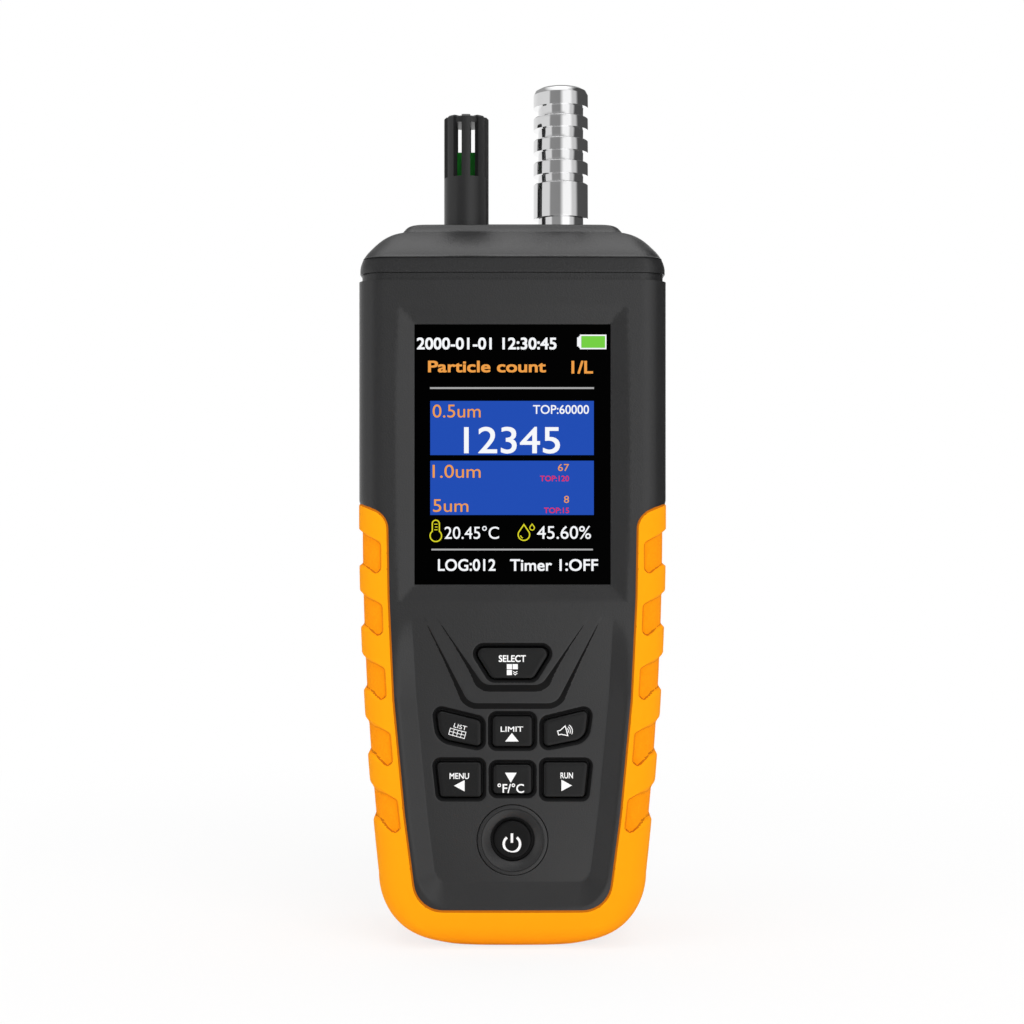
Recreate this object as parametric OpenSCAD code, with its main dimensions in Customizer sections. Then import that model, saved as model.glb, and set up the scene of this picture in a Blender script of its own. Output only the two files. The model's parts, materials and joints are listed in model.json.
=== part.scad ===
// Air quality monitor: a handheld particle counter with a climate probe.
// It stands upright on its rubber boot. +Z is up and the keys face -Y.
// A height on the front, such as floor_h, is measured forwards from the middle plane.

/* [Case] */
// Width across the head
case_w = 76.8; // [75:0.1:79]
// Depth of the housings, front face to back face
case_d = 40; // [39:0.1:42]
// Height of the housings' top edge
case_h = 165.4; // [164:0.1:168]
// Radius of the slow curve that narrows the grip
waist_r = 800; // [700:10:1200]
// Height at which the grip starts to narrow
waist_z = 107; // [104:1:110]
// Radius of the two bottom corners, seen from the front
corner_r = 18; // [16:0.5:20]
// Radius of the bottom edge, seen from the side
edge_r = 6; // [5.5:0.1:7]
// Radius of the front's upright edges
front_r = 6; // [5.5:0.1:7]
// Radius of the back's upright edges
back_r = 9; // [8:0.1:10]
// How far the front and back faces bulge
crown = 0.6; // [0.4:0.1:0.8]
// Wall of the housings
wall = 2.2; // [2:0.1:2.4]
// Plane where front and rear housing meet, behind the middle
part_y = 2; // [1:0.5:3]

/* [Boot] */
// Thickness of the boot on the sides
boot_t = 2.2; // [2:0.1:2.4]
// How far the boot stands proud of the front and back faces
boot_lip = 0.7; // [0.5:0.1:0.9]
// Gap between boot and housings
boot_gap = 0.1; // [0.05:0.01:0.1]
// Grip pockets on a side
grip_count = 5; // [3:1:5]
// Distance from pocket to pocket
grip_pitch = 15.7; // [15:0.1:16]
// Depth of a grip pocket
grip_depth = 0.9; // [0.6:0.1:1.1]

/* [Screen] */
// Half width of the display window
window_x = 24.3; // [23.5:0.1:24.5]
// Lower edge of the display window
window_z0 = 90; // [89.5:0.1:90.5]
// Upper edge of the display window
window_z1 = 154.5; // [153:0.1:155]
// Thickness of the display window
window_t = 1.2; // [1:0.1:1.4]
// How deep the window lies below the front face
bezel_depth = 1.3; // [1:0.1:1.5]

/* [Keys] */
// How far a key travels
key_travel = 0.8; // [0.4:0.1:0.8]
// Width of the bevel around a key's hole
key_bevel = 0.8; // [0.6:0.1:0.9]
// Clearance between a key and its hole
key_gap = 0.3; // [0.25:0.01:0.35]
// Depth of the key field below the front face
field_depth = 2.4; // [2.2:0.1:2.5]
// Height of each step beside the select key
step_h = 1.2; // [1:0.1:1.2]
// Height of the power key's centre
power_z = 26.5; // [26:0.1:27]

/* [Probes] */
// Air nozzle's distance right of the middle
nozzle_x = 12.5; // [12:0.1:13]
// Radius of the nozzle's hose rings
barb_r = 7.05; // [6.8:0.05:7.2]
// Radius of the nozzle between the rings
neck_r = 5.82; // [5.7:0.01:5.9]
// Radius of the nozzle's bore
bore_r = 3.4; // [3:0.1:3.6]
// Climate probe's distance left of the middle
probe_x = 11.9; // [11.5:0.1:12.5]
// Outer radius of the climate probe's cage
cage_r = 5.75; // [5.6:0.05:5.9]
// Ribs around the cage
cage_ribs = 8; // [6:1:8]

/* [Tripod socket] */
// Radius of the bore in the threaded insert
tripod_r = 2.55; // [2.5:0.01:2.6]
// Height of the insert's axis
tripod_z = 104; // [103:0.5:106]

/* [Hidden] */
$fn = 64;

dark = [0.24, 0.24, 0.245];
black = [0.12, 0.12, 0.125];
orange = [1.0, 0.65, 0.07];
steel = [0.78, 0.79, 0.8];
green = [0.05, 0.32, 0.1];

// Heights on the front, forwards from the middle plane
face_h = case_d / 2;
floor_h = face_h - field_depth;
window_h = face_h - bezel_depth;
inside_h = 15.4;         // inner side of the front wall
beyond = case_d;         // past every outer surface
grip_t = boot_t + boot_gap;
band_z = 113;            // the housings keep the boot's seat up to here
boot_side_z = 110.3;     // boot's top edge, on the side

// Board and keys, heights forwards from the middle plane
panel_h = [11.4, 14.9];
board_h = [9.8, 11.4];
switch_top = 12.7;
web_top = 13.2;
flange_h = [14.35, inside_h];
key_flange = -0.05;      // outline of a key's flange, against its pocket's

// The head's top
cap_z = 167.3;           // lower edge of the cap's band
band_top_z = 171.2;      // crease above the cap's band
shoulder_z = 179.5;      // where the shoulder meets the plateau
plateau_z = 181.1;
plateau_w = 27.3;
plateau_d = 10.4;
nozzle_z = 217;
cage_z = 209.7;
seal_seat_r = 7.4;

// Inside layout
sensor_z = [117, 147];
sensor_h = [-9, 6];      // heights are negative towards the back
blower_x = -18.5;
blower_z = 131.5;
rotor_r = 11.8;
bay_x = 16;
bay_z = [27, 86.5];
bay_h = -6.5;
cover_h = -18;
cover_x = 18.6;
cover_z = [23, 91];
cover_screw_z = 88.4;
usb_y = -8.1;
usb_z = 4.7;
housing_screw_at = [[30.6, 152, -16.6], [28.5, 82, -14.9], [25, 24, -14.7]];
board_screw_at = [[23, 160.2], [21, 83], [12.5, 10]];
boss_r = 3.2;

// ---------- outlines ----------

function unit(v) = v / norm(v);
function edge_normal(a, b) = unit([b[1] - a[1], a[0] - b[0]]);

// One rounded corner of a counter-clockwise outline, grown outwards by grow
function rounded(p0, p, p1, r, grow, steps) =
    let (n0 = edge_normal(p0, p), n1 = edge_normal(p, p1),
         c = p - r * (n0 + n1) / (1 + n0 * n1),
         a0 = atan2(n0[1], n0[0]), turn = acos(n0 * n1))
    [for (i = [0:steps]) c + (r + grow) * [cos(a0 + turn * i / steps), sin(a0 + turn * i / steps)]];

// A convex outline with a radius for each corner
function outline(corners, radii, grow = 0, steps = 5) =
    let (n = len(corners))
    [for (i = [0:n - 1]) each
        rounded(corners[(i + n - 1) % n], corners[i], corners[(i + 1) % n], radii[i], grow, steps)];

function at_height(points, h) = [for (p = points) [p[0], p[1], h]];
function mirrored(points) = [for (i = [len(points) - 1:-1:0]) [-points[i][0], points[i][1]]];

// Rings of equal length, bottom to top and counter-clockwise, as one closed solid
module loft(rings) {
    n = len(rings[0]);
    m = len(rings);
    middle = function (ring) [for (k = [0:2]) (min([for (p = ring) p[k]]) + max([for (p = ring) p[k]])) / 2];
    sides = [for (j = [0:m - 2], i = [0:n - 1])
        let (a = j * n + i, b = j * n + (i + 1) % n)
        each [[a, a + n, b + n], [a, b + n, b]]];
    foot = [for (i = [0:n - 1]) [m * n, i, (i + 1) % n]];
    lid = [for (i = [0:n - 1]) [m * n + 1, (m - 1) * n + (i + 1) % n, (m - 1) * n + i]];
    polyhedron(
        points = concat([for (r = rings) each r], [middle(rings[0]), middle(rings[m - 1])]),
        faces = concat(foot, sides, lid));
}

// Draws on the front: x stays, y becomes height above the ground, z points forwards
module on_front() { rotate([90, 0, 0]) children(); }
module slab(h0, h1) { on_front() translate([0, 0, h0]) linear_extrude(h1 - h0) children(); }
module post(x, z, r, h0, h1) { slab(h0, h1) translate([x, z]) circle(r); }
module block(x, z, h) {
    slab(h[0], h[1]) polygon([[x[0], z[0]], [x[1], z[0]], [x[1], z[1]], [x[0], z[1]]]);
}
module both_sides() { for (side = [0, 1]) mirror([side, 0, 0]) children(); }

// ---------- the case's form ----------

function side_w(z) = case_w / 2
    - (z < waist_z ? waist_r - sqrt(pow(waist_r, 2) - pow(waist_z - z, 2)) : 0);
corner_x = side_w(corner_r) - corner_r;

// Half width and half depth at height z, with the surface moved in by t
function half_w(z, t) = z < corner_r
    ? corner_x + sqrt(max(0, pow(corner_r - t, 2) - pow(corner_r - z, 2)))
    : side_w(z) - t;
function half_d(z, t) = z < edge_r
    ? face_h - edge_r + sqrt(max(0, pow(edge_r - t, 2) - pow(edge_r - z, 2)))
    : face_h - t;

corner_steps = 8;
side_steps = 5;
arc_steps = 6;
face_steps = 6;
function levels(t, top) = concat(
    [for (i = [0:corner_steps]) corner_r - (corner_r - t) * cos(90 * i / corner_steps)],
    [for (i = [1:side_steps]) let (z = corner_r + (waist_z - corner_r) * i / side_steps)
        if (z < top - 1) z],
    [top]);

// A level section: a rounded rectangle whose front and back bulge by crown
function section(w, d, rf, rb) =
    let (flat = d - crown,
         arc = function (sx, sy, r, a0)
             [for (i = [0:arc_steps]) [sx * (w - r) + r * cos(a0 + 90 * i / arc_steps),
                                       sy * (flat - r) + r * sin(a0 + 90 * i / arc_steps)]],
         face = function (sy, r)
             [for (i = [1:face_steps - 1]) [sy * (r - w) * (2 * i / face_steps - 1), sy * flat]],
         plain = concat(arc(1, 1, rb, 0), face(1, rb), arc(-1, 1, rb, 90),
                        arc(-1, -1, rf, 180), face(-1, rf), arc(1, -1, rf, 270)))
    [for (p = plain) [p[0], p[1] + sign(p[1]) * crown * (1 - pow(p[0] / w, 2))]];
function case_ring(z, t, lip) =
    at_height(section(half_w(z, t), half_d(z, t) + lip, front_r - t, back_r - t), z);

// The whole case's form, moved in by t, with its front and back moved out by lip
module case_form(t, lip, top) { loft([for (z = levels(t, top)) case_ring(z, t, lip)]); }
module head_form(t, z0, z1) {
    translate([0, 0, z0]) linear_extrude(z1 - z0)
        polygon(section(case_w / 2 - t, face_h - t, front_r - t, back_r - t));
}

// The case's outline from the front: moved in by grip_in low down and by head_in above the boot
function side_line(grip_in, head_in, top) = concat(
    [for (z = levels(grip_in, band_z - 1)) [half_w(z, grip_in), z]],
    [[case_w / 2 - head_in, band_z + 1], [case_w / 2 - head_in, top]]);
module front_outline(grip_in, head_in, top) {
    right = side_line(grip_in, head_in, top);
    polygon(concat(right, mirrored(right)));
}

// What the boot leaves bare, seen from the front; inset moves its sides in
module bare_region(inset = 0, grow = 0) {
    side = [[24.3 - inset, 9.7], [28.8 - inset, 60.9], [30.2 - inset, 86.3], [30.65 - inset, 107.3],
            [40, boot_side_z + 0.7], [60, boot_side_z + 3], [60, 240]];
    offset(delta = grow) offset(r = -5.2) offset(delta = 5.2) offset(r = 5.7) offset(delta = -5.7)
        polygon(concat(side, mirrored(side)), convexity = 4);
}
back_inset = 5;

// ---------- key pockets ----------

// Corners run counter-clockwise from the lower left, at the key field's floor
select_pocket = [[-5.7, 65.8], [5.7, 65.8], [11.7, 75.6], [-11.7, 75.6]];
up_pocket = [[-6.15, 48.65], [6.15, 48.65], [6.15, 58.6], [-6.15, 58.6]];
list_pocket = [[-19.1, 50.8], [-6.6, 48.3], [-6.6, 57.2], [-20.3, 60.5]];
down_pocket = [[-6, 36.9], [6, 36.9], [6, 46.5], [-6, 46.5]];
left_pocket = [[-19, 36.1], [-6.5, 36.1], [-6.5, 47.1], [-20.2, 47.1]];
select_radii = [2.9, 2.9, 2.7, 2.7];
up_radii = [2.2, 2.2, 2.2, 2.2];
list_radii = [4.8, 2.3, 2.5, 2.3];
left_radii = [2.1, 2.1, 2.1, 2.1];
function other_side(corners) = [for (i = [1, 0, 3, 2]) [-corners[i][0], corners[i][1]]];
function other_radii(radii) = [for (i = [1, 0, 3, 2]) radii[i]];

pockets = [
    [select_pocket, select_radii, face_h],
    [up_pocket, up_radii, floor_h],
    [down_pocket, up_radii, floor_h],
    [list_pocket, list_radii, floor_h],
    [other_side(list_pocket), other_radii(list_radii), floor_h],
    [left_pocket, left_radii, floor_h],
    [other_side(left_pocket), other_radii(left_radii), floor_h]
];
power_hole_r = 5.2;
power_key_r = 4.75;
ring_seat_r = 8.88;
ring_r = 8.75;
ring_h = 16;

module key_hole(pocket) {
    corners = pocket[0];
    radii = pocket[1];
    top = pocket[2];
    rise = 0.3;
    slab(inside_h - 1, top) polygon(outline(corners, radii, -key_bevel));
    on_front() loft([
        at_height(outline(corners, radii, -key_bevel), top - key_bevel),
        at_height(outline(corners, radii, rise), top + rise)]);
}

module key_cap(pocket, proud = 0) {
    corners = pocket[0];
    radii = pocket[1];
    top = pocket[2] + proud;
    side = -key_bevel - key_gap;
    // Each pair is a height below the top and how far the edge has rolled in there
    roll = [[0.6, 0], [0.3, 0.08], [0.1, 0.25], [0, 0.5]];
    slab(flange_h[0], flange_h[1]) polygon(outline(corners, radii, key_flange));
    on_front() loft(concat(
        [at_height(outline(corners, radii, side), inside_h)],
        [for (r = roll) at_height(outline(corners, radii, side - r[1]), top - r[0])]));
}

// ---------- front housing ----------

// The key field: a dish with sloping sides, whose floor rises to the face at its top
module key_field() {
    top_z = 80.9;
    floor_line = outline([[-19.2, 16], [19.2, 16], [24.3, 61], [-24.3, 61]], [4.2, 4.2, 0.1, 0.1]);
    face_line = outline([[-23.7, 9.6], [23.7, 9.6], [28.8, 60.9], [29.9, top_z], [-29.9, top_z],
                         [-28.8, 60.9]], [5.7, 5.7, 1, 0.1, 0.1, 1]);
    difference() {
        hull() {
            slab(floor_h, floor_h + 0.1) polygon(floor_line);
            slab(face_h - 0.35, face_h + 2) polygon(face_line);
            block([-24.5, 24.5], [top_z - 0.1, top_z], [face_h, face_h + 2]);
        }
        step_block([[-10.8, 60.7], [10.8, 60.7], [21.3, top_z], [-21.3, top_z]], face_h - step_h, top_z);
        tongue_block([[-7.1, 65.4], [7.1, 65.4], [18.8, top_z + 1.2], [-18.8, top_z + 1.2]]);
    }
}

// The step below the select key: its top is a plane from the face down to low_h
module step_block(corners, low_h, top_z) {
    radii = [3.5, 3.5, 0.1, 0.1];
    low_z = corners[0][1];
    plane = function (z) low_h + (face_h - low_h) * (z - low_z) / (top_z - low_z);
    drop = 2.4;
    tops = outline(corners, radii);
    feet = outline(corners, radii, drop);
    on_front() loft([
        [for (i = [0:len(tops) - 1]) [feet[i][0], feet[i][1], plane(tops[i][1]) - drop]],
        [for (p = tops) [p[0], p[1], plane(p[1])]]]);
}

// The tongue around the select key stays level with the face
module tongue_block(corners) {
    radii = [3.2, 3.2, 0.7, 0.7];
    on_front() loft([for (d = [-3, 0.6]) at_height(outline(corners, radii, -d), face_h + d)]);
}

// The screen's bezel: four shallow slopes down to the window, with barrelled sides
module bezel() {
    side_z = [window_z0 - 4.2, 104, 122, 140, window_z1 + 4.3];
    side_x = [28, 28.7, 28.9, 28.7, 28];
    top_x = [20, 10, 0, -10, -20];
    on_face = function (x) face_h - crown * pow(2 * x / case_w, 2) - 0.04;
    // The same walk around two rectangles: outer at the face, inner at the window
    outer = concat([for (i = [0:4]) [side_x[i], side_z[i]]], [for (x = top_x) [x, side_z[4]]],
                   [for (i = [4:-1:0]) [-side_x[i], side_z[i]]], [for (x = top_x) [-x, side_z[0]]]);
    in_z = [window_z0, 106, 122, 138, window_z1];
    in_x = [for (x = top_x) x * 0.87];
    inner = concat([for (i = [0:4]) [window_x, in_z[i]]], [for (x = in_x) [x, window_z1]],
                   [for (i = [4:-1:0]) [-window_x, in_z[i]]], [for (x = in_x) [-x, window_z0]]);
    on_front() loft([
        at_height(inner, window_h),
        [for (p = outer) [p[0], p[1], on_face(p[0])]],
        at_height(outer, face_h + 2)]);
}

module case_outer(inset, half) {
    intersection() {
        case_form(0, 0, case_h);
        slab(half[0], half[1]) bare_region(inset, -0.1);
    }
    intersection() {
        case_form(grip_t, 0, band_z);
        block([-60, 60], [-1, band_z - 2], half);
    }
}

module case_cavity(front_limit) {
    intersection() {
        union() {
            case_form(grip_t + wall, crown, 104.1);
            head_form(wall, 104, case_h + 1);
        }
        block([-60, 60], [0, case_h + 2], [-beyond, front_limit]);
    }
}

// One half of the case as a hollow shell; children are kept solid inside it
module shell(inset, half) {
    difference() {
        case_outer(inset, half);
        difference() {
            case_cavity(inside_h);
            children();
        }
    }
}

module seal_line(h0, h1) {
    slab(h0, h1) difference() {
        front_outline(grip_t + 0.7, 0.7, 160);
        front_outline(grip_t + 1.5, 1.5, 161);
    }
}

module front_housing() color(dark) {
    window_edge = 0.8;
    difference() {
        shell(0, [-part_y, beyond]) both_sides() {
            for (s = housing_screw_at) post(s[0], s[1], boss_r, -part_y - 1, inside_h + 0.5);
            for (s = board_screw_at) post(s[0], s[1], 2.5, board_h[1], inside_h + 0.5);
        }
        key_field();
        bezel();
        block([-window_x, window_x], [window_z0, window_z1], [window_h - window_t, face_h]);
        block([window_edge - window_x, window_x - window_edge],
              [window_z0 + window_edge, window_z1 - window_edge], [inside_h - 1, face_h]);
        for (p = pockets) key_hole(p);
        post(0, power_z, power_hole_r, inside_h - 1, face_h);
        post(0, power_z, ring_seat_r, ring_h, face_h);
        seal_line(-part_y - 1, -part_y + 0.8);
        usb_opening(0, usb_z);
        both_sides() {
            for (s = housing_screw_at) post(s[0], s[1], 1.45, -part_y - 1, 9);
            for (s = board_screw_at) post(s[0], s[1], 0.9, board_h[1] - 1, inside_h - 0.4);
        }
    }
}

module power_ring() color(dark) {
    dish_r = 7.77;
    mouth_r = 5.53;
    translate([0, 0, power_z]) on_front() rotate_extrude()
        polygon([[mouth_r, ring_h], [ring_r, ring_h], [ring_r, floor_h - 0.15], [ring_r - 0.15, floor_h],
                 [dish_r, floor_h], [mouth_r, ring_h + 0.4]]);
}

// ---------- keys ----------

module select_key() color(black) key_cap(pockets[0], -0.1);
module up_key() color(black) key_cap(pockets[1]);
module down_key() color(black) key_cap(pockets[2]);
module list_key() color(black) key_cap(pockets[3]);
module sound_key() color(black) key_cap(pockets[4]);
module left_key() color(black) key_cap(pockets[5]);
module right_key() color(black) key_cap(pockets[6]);

module power_key() color(black) {
    top = 16.9;
    roll = 0.5;
    translate([0, 0, power_z]) on_front() rotate_extrude()
        polygon(concat(
            [[0, flange_h[0]], [6.2, flange_h[0]], [6.2, flange_h[1]], [power_key_r, flange_h[1]]],
            [for (a = [0:15:90]) [power_key_r - roll * (1 - cos(a)), top - roll * (1 - sin(a))]],
            [[0, top]]));
}

key_centres = [[0, 70.7], [0, 53.6], [0, 41.7], [-13, 54.2], [13, 54.2], [-13, 41.7], [13, 41.7],
               [0, power_z]];

module key_web() color([0.55, 0.56, 0.58]) {
    slab(switch_top, web_top) polygon(outline([[-17, 17], [17, 17], [22, 78], [-22, 78]],
                                              [3, 3, 3, 3]));
    for (c = key_centres) post(c[0], c[1], 2, web_top - 0.1, web_top + 0.3);
}

module tact_switches() color(steel)
    for (c = key_centres) post(c[0], c[1], 2.4, board_h[1], switch_top);

// ---------- display and board ----------

module display_window() color([0.03, 0.03, 0.035])
    block([0.1 - window_x, window_x - 0.1], [window_z0 + 0.1, window_z1 - 0.1],
          [window_h - window_t, window_h]);

module display_gasket() color(black) difference() {
    block([-25.5, 25.5], [88.5, 156], [panel_h[1], inside_h]);
    block([-23.5, 23.5], [90.8, 153.7], [panel_h[1] - 1, inside_h + 1]);
}

module display_panel() color([0.7, 0.72, 0.74])
    block([-26, 26], [88, 156.5], panel_h);

module main_board() color(green) difference() {
    right = [[12, 5.2], [19, 14], [21, 40], [26.8, 90], [26.8, 163]];
    slab(board_h[0], board_h[1]) polygon(concat(right, mirrored(right)));
    both_sides() {
        for (s = board_screw_at) post(s[0], s[1], 1.1, board_h[0] - 1, board_h[1] + 1);
        for (s = housing_screw_at) post(s[0], s[1], boss_r + 0.4, board_h[0] - 1, board_h[1] + 1);
    }
}

module board_screws() color(steel) both_sides() for (s = board_screw_at) {
    post(s[0], s[1], 0.9, board_h[0], inside_h - 0.6);
    difference() {
        post(s[0], s[1], 1.9, board_h[0] - 1.2, board_h[0]);
        post(s[0], s[1], 0.6, board_h[0] - 2, board_h[0] - 0.6, $fn = 6);
    }
}

module buzzer() color(black) difference() {
    post(-16, 98, 6, board_h[0] - 6, board_h[0]);
    post(-16, 98, 1, board_h[0] - 7, board_h[0] - 5);
}

module usb_socket() color(steel) translate([0, usb_y, usb_z]) difference() {
    linear_extrude(7.5) offset(r = 1.4) square([6.4, 0.6], center = true);
    translate([0, 0, -1]) linear_extrude(7) difference() {
        offset(r = 1.1) square([6.4, 0.6], center = true);
        translate([0, 0]) square([5.6, 0.6], center = true);
    }
}

// ---------- rear housing ----------

module rear_housing() color(dark) {
    bay_wall = 1.5;
    difference() {
        shell(back_inset, [-beyond, -part_y]) {
            both_sides() for (s = housing_screw_at) post(s[0], s[1], boss_r, -beyond, -part_y + 1);
            block([-bay_x - bay_wall, bay_x + bay_wall], [bay_z[0] - bay_wall, bay_z[1] + bay_wall],
                  [-beyond, bay_h + bay_wall]);
            post(0, tripod_z, 7, -beyond, -10);
            for (x = [-12, 12]) post(x, cover_screw_z, 2.3, -beyond, -12.5);
            for (x = [-31, -8, -2, 26], z = [119, 145]) post(x, z, 1.9, -beyond, sensor_h[0]);
        }
        block([-bay_x, bay_x], bay_z, [-beyond, bay_h]);
        block([-cover_x, cover_x], cover_z, [-beyond, cover_h]);
        for (x = [-12, 12]) post(x, cover_screw_z, 0.95, cover_h - 1, -14);
        post(0, tripod_z, 4.5, -beyond, -12);
        both_sides() for (s = housing_screw_at) {
            post(s[0], s[1], 1.7, -beyond, 0);
            post(s[0], s[1], 2.9, -beyond, s[2]);
        }
        grille_recess();
    }
}

grille_x = [-31, -9];
grille_z = [122, 140];
module grille_recess() {
    block([grille_x[0], grille_x[1]], grille_z, [-beyond, -18.4]);
    block([grille_x[0] + 1.2, grille_x[1] - 1.2], [grille_z[0] + 1.2, grille_z[1] - 1.2], [-beyond, -17]);
}

module outlet_grille() color(black) difference() {
    intersection() {
        head_form(0, grille_z[0] + 0.1, grille_z[1] - 0.1);
        block([grille_x[0] + 0.1, grille_x[1] - 0.1], grille_z, [-beyond, -18.4]);
    }
    for (i = [0:4]) {
        z = grille_z[0] + 3.2 + 2.9 * i;
        block([grille_x[0] + 2.4, grille_x[1] - 2.4], [z, z + 1.5], [-beyond, -18]);
    }
}

module battery_cover() color(dark) {
    finger_ribs = 5;
    difference() {
        intersection() {
            head_form(0, cover_z[0], cover_z[1]);
            block([0.15 - cover_x, cover_x - 0.15], [cover_z[0] + 0.15, cover_z[1] - 0.15],
                  [-beyond, cover_h]);
        }
        for (x = [-12, 12]) {
            post(x, cover_screw_z, 1.1, -beyond, cover_h + 1);
            post(x, cover_screw_z, 2.1, -beyond, cover_h - 0.9);
        }
        for (i = [0:finger_ribs - 1])
            block([-7, 7], [26 + 2.4 * i, 27.2 + 2.4 * i], [-beyond, -face_h + 0.45]);
    }
}

module battery_cover_screws() color(steel) for (x = [-12, 12]) difference() {
    union() {
        post(x, cover_screw_z, 0.9, cover_h - 0.9, -14.2);
        post(x, cover_screw_z, 1.9, cover_h - 1.6, cover_h - 0.9);
    }
    cross_recess(x, cover_screw_z, cover_h - 1.6, 0.5);
}

// A cross-shaped driver recess in a head that faces the back
module cross_recess(x, z, h, deep) {
    arm = 0.3;
    reach = 1.1;
    block([x - reach, x + reach], [z - arm, z + arm], [h - 1, h + deep]);
    block([x - arm, x + arm], [z - reach, z + reach], [h - 1, h + deep]);
}

module battery_pack() color([0.3, 0.42, 0.62])
    slab(cover_h, bay_h) polygon(outline([[-15.7, 27.4], [15.7, 27.4], [15.7, 86.2], [-15.7, 86.2]], [2, 2, 2, 2]));

module tripod_insert() color([0.78, 0.62, 0.3]) difference() {
    post(0, tripod_z, 4.5, -face_h, -12);
    post(0, tripod_z, tripod_r, -beyond, -13);
}

module housing_screws() color(steel) both_sides() for (s = housing_screw_at) difference() {
    union() {
        post(s[0], s[1], 1.45, s[2], 8.5);
        post(s[0], s[1], 2.75, s[2] - 1.6, s[2]);
    }
    cross_recess(s[0], s[1], s[2] - 1.6, 1);
}

module housing_seal() color([0.2, 0.2, 0.21]) seal_line(-part_y, -part_y + 0.8);

// ---------- top cap ----------

// Half width and half depth of the shoulder, as the share u of its rise goes from 0 to 1
function shoulder_w(u) = plateau_w + (case_w / 2 - 0.2 - plateau_w) * pow(1 - pow(u, 1.6), 1 / 1.6);
function shoulder_d(u) = face_h - 0.5 - (face_h - 0.5 - plateau_d) * (0.55 * u + 0.45 * u * u);

module cap_form(t) {
    bottom_z = 168.5;
    rise = shoulder_z - bottom_z;
    shoulder_zs = [for (u = [0, 0.12, 0.27, 0.45, 0.62, 0.78, 0.9, 1]) bottom_z + rise * u];
    above = concat([for (z = shoulder_zs)
        [z, shoulder_w((z - bottom_z) / rise),
         z < band_top_z + 0.01 ? face_h - 0.5 : shoulder_d((z - band_top_z) / (shoulder_z - band_top_z))]],
        // The plateau's wall: hollow at its foot, rounded at its top
        [[179.8, 26.7, 10], [180.4, 25.9, 9.6], [180.85, 25.1, 9.1], [plateau_z, 24.1, 8.3]]);
    loft(concat(
        [at_height(section(case_w / 2 - 0.2 - t, face_h - 0.5 - t, front_r - t, back_r - t), cap_z - 3 * t)],
        [for (r = above) at_height(section(r[1] - t, r[2] - t, front_r - t, front_r - t), r[0] - t)]));
}

module top_cap() color(dark) {
    neck = 0.7;
    difference() {
        union() {
            cap_form(0);
            head_form(neck, case_h, cap_z + 0.5);
            // A skirt inside the housings; the front wall is too thick to need it
            intersection() {
                head_form(wall + 0.1, 160.5, case_h + 1);
                block([-60, 60], [160, 170], [-beyond, inside_h - 0.1]);
            }
        }
        head_form(wall + 1.6, 150, cap_z + 1);
        cap_form(wall);
        translate([nozzle_x, 0, 170]) cylinder(r = 5.1, h = 20);
        translate([-probe_x, 0, 170]) cylinder(r = cage_r, h = 20);
        for (x = [nozzle_x, -probe_x])
            translate([x, 0, 170]) cylinder(r = seal_seat_r, h = plateau_z - wall - 170);
    }
}

// ---------- air inlet ----------

module inlet_nozzle() color(steel) {
    rings = [[206.3, 209.4], [200.5, 203.6], [194.6, 197.8], [183.6, 192.3]];
    bevel = 0.7;
    ring = function (z0, z1) [[neck_r, z0], [barb_r, z0], [barb_r, z1 - 0.3], [barb_r - 0.3, z1], [neck_r, z1]];
    translate([nozzle_x, 0, 0]) rotate_extrude() polygon(concat(
        [[bore_r, 163], [4.2, 163], [4.4, 163.4], [4.4, 172], [5.1, 172], [5.1, plateau_z], [neck_r, plateau_z]],
        [for (i = [3:-1:0]) each ring(rings[i][0], rings[i][1])],
        [[neck_r, 212], [barb_r, 212], [barb_r, nozzle_z - 1.6], [barb_r - 1.5, nozzle_z],
         [bore_r + bevel, nozzle_z], [bore_r, nozzle_z - bevel]]));
}

module nozzle_nut() color(steel) translate([nozzle_x, 0, 173.4]) difference() {
    cylinder(r = 7.2, h = 2.6, $fn = 6);
    translate([0, 0, -1]) cylinder(r = 5.1, h = 5);
}

module nozzle_seal() color(black) translate([nozzle_x, 0, 176]) difference() {
    cylinder(r = 6.4, h = plateau_z - wall - 176);
    translate([0, 0, -1]) cylinder(r = 5.1, h = 5);
}

module inlet_tube() color([0.8, 0.82, 0.82]) translate([nozzle_x, 0, sensor_z[1]]) difference() {
    cylinder(r = 5.6, h = 22);
    translate([0, 0, -1]) cylinder(r = 4.4, h = 30);
}

// ---------- climate probe ----------

module probe_cage() color(black) {
    inner_r = 4.4;
    rib_w = 2.2;
    slot_z = [193.9, 207.8];
    foot_z = 176.4;
    rim_r = 5;
    translate([-probe_x, 0, 0]) {
        rotate_extrude() polygon([[inner_r, foot_z], [cage_r, foot_z], [cage_r, slot_z[0]],
                                  [inner_r, slot_z[0]]]);
        rotate_extrude() polygon([[0, slot_z[1]], [rim_r, slot_z[1]], [rim_r, cage_z - 0.5],
                                  [rim_r - 0.4, cage_z - 0.2], [0, cage_z - 0.2]]);
        intersection() {
            rotate_extrude() polygon([[inner_r, slot_z[0] - 0.5], [cage_r, slot_z[0] - 0.5],
                [cage_r, cage_z - 0.5], [cage_r - 0.5, cage_z], [inner_r - 0.6, cage_z],
                [inner_r - 0.6, slot_z[1]], [inner_r, slot_z[1]]]);
            for (i = [0:cage_ribs - 1]) rotate([0, 0, 360 * i / cage_ribs - 90])
                translate([0, -rib_w / 2, 190]) cube([cage_r + 1, rib_w, 30]);
        }
    }
}

module probe_seal() color(black) translate([-probe_x, 0, 176.4]) difference() {
    cylinder(r = cage_r + 1.3, h = plateau_z - wall - 176.4);
    translate([0, 0, -1]) cylinder(r = cage_r, h = 5);
}

module probe_board() color(green)
    block([-probe_x - 4, 4 - probe_x], [170, 200.8], [-0.5, 0.5]);

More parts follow.
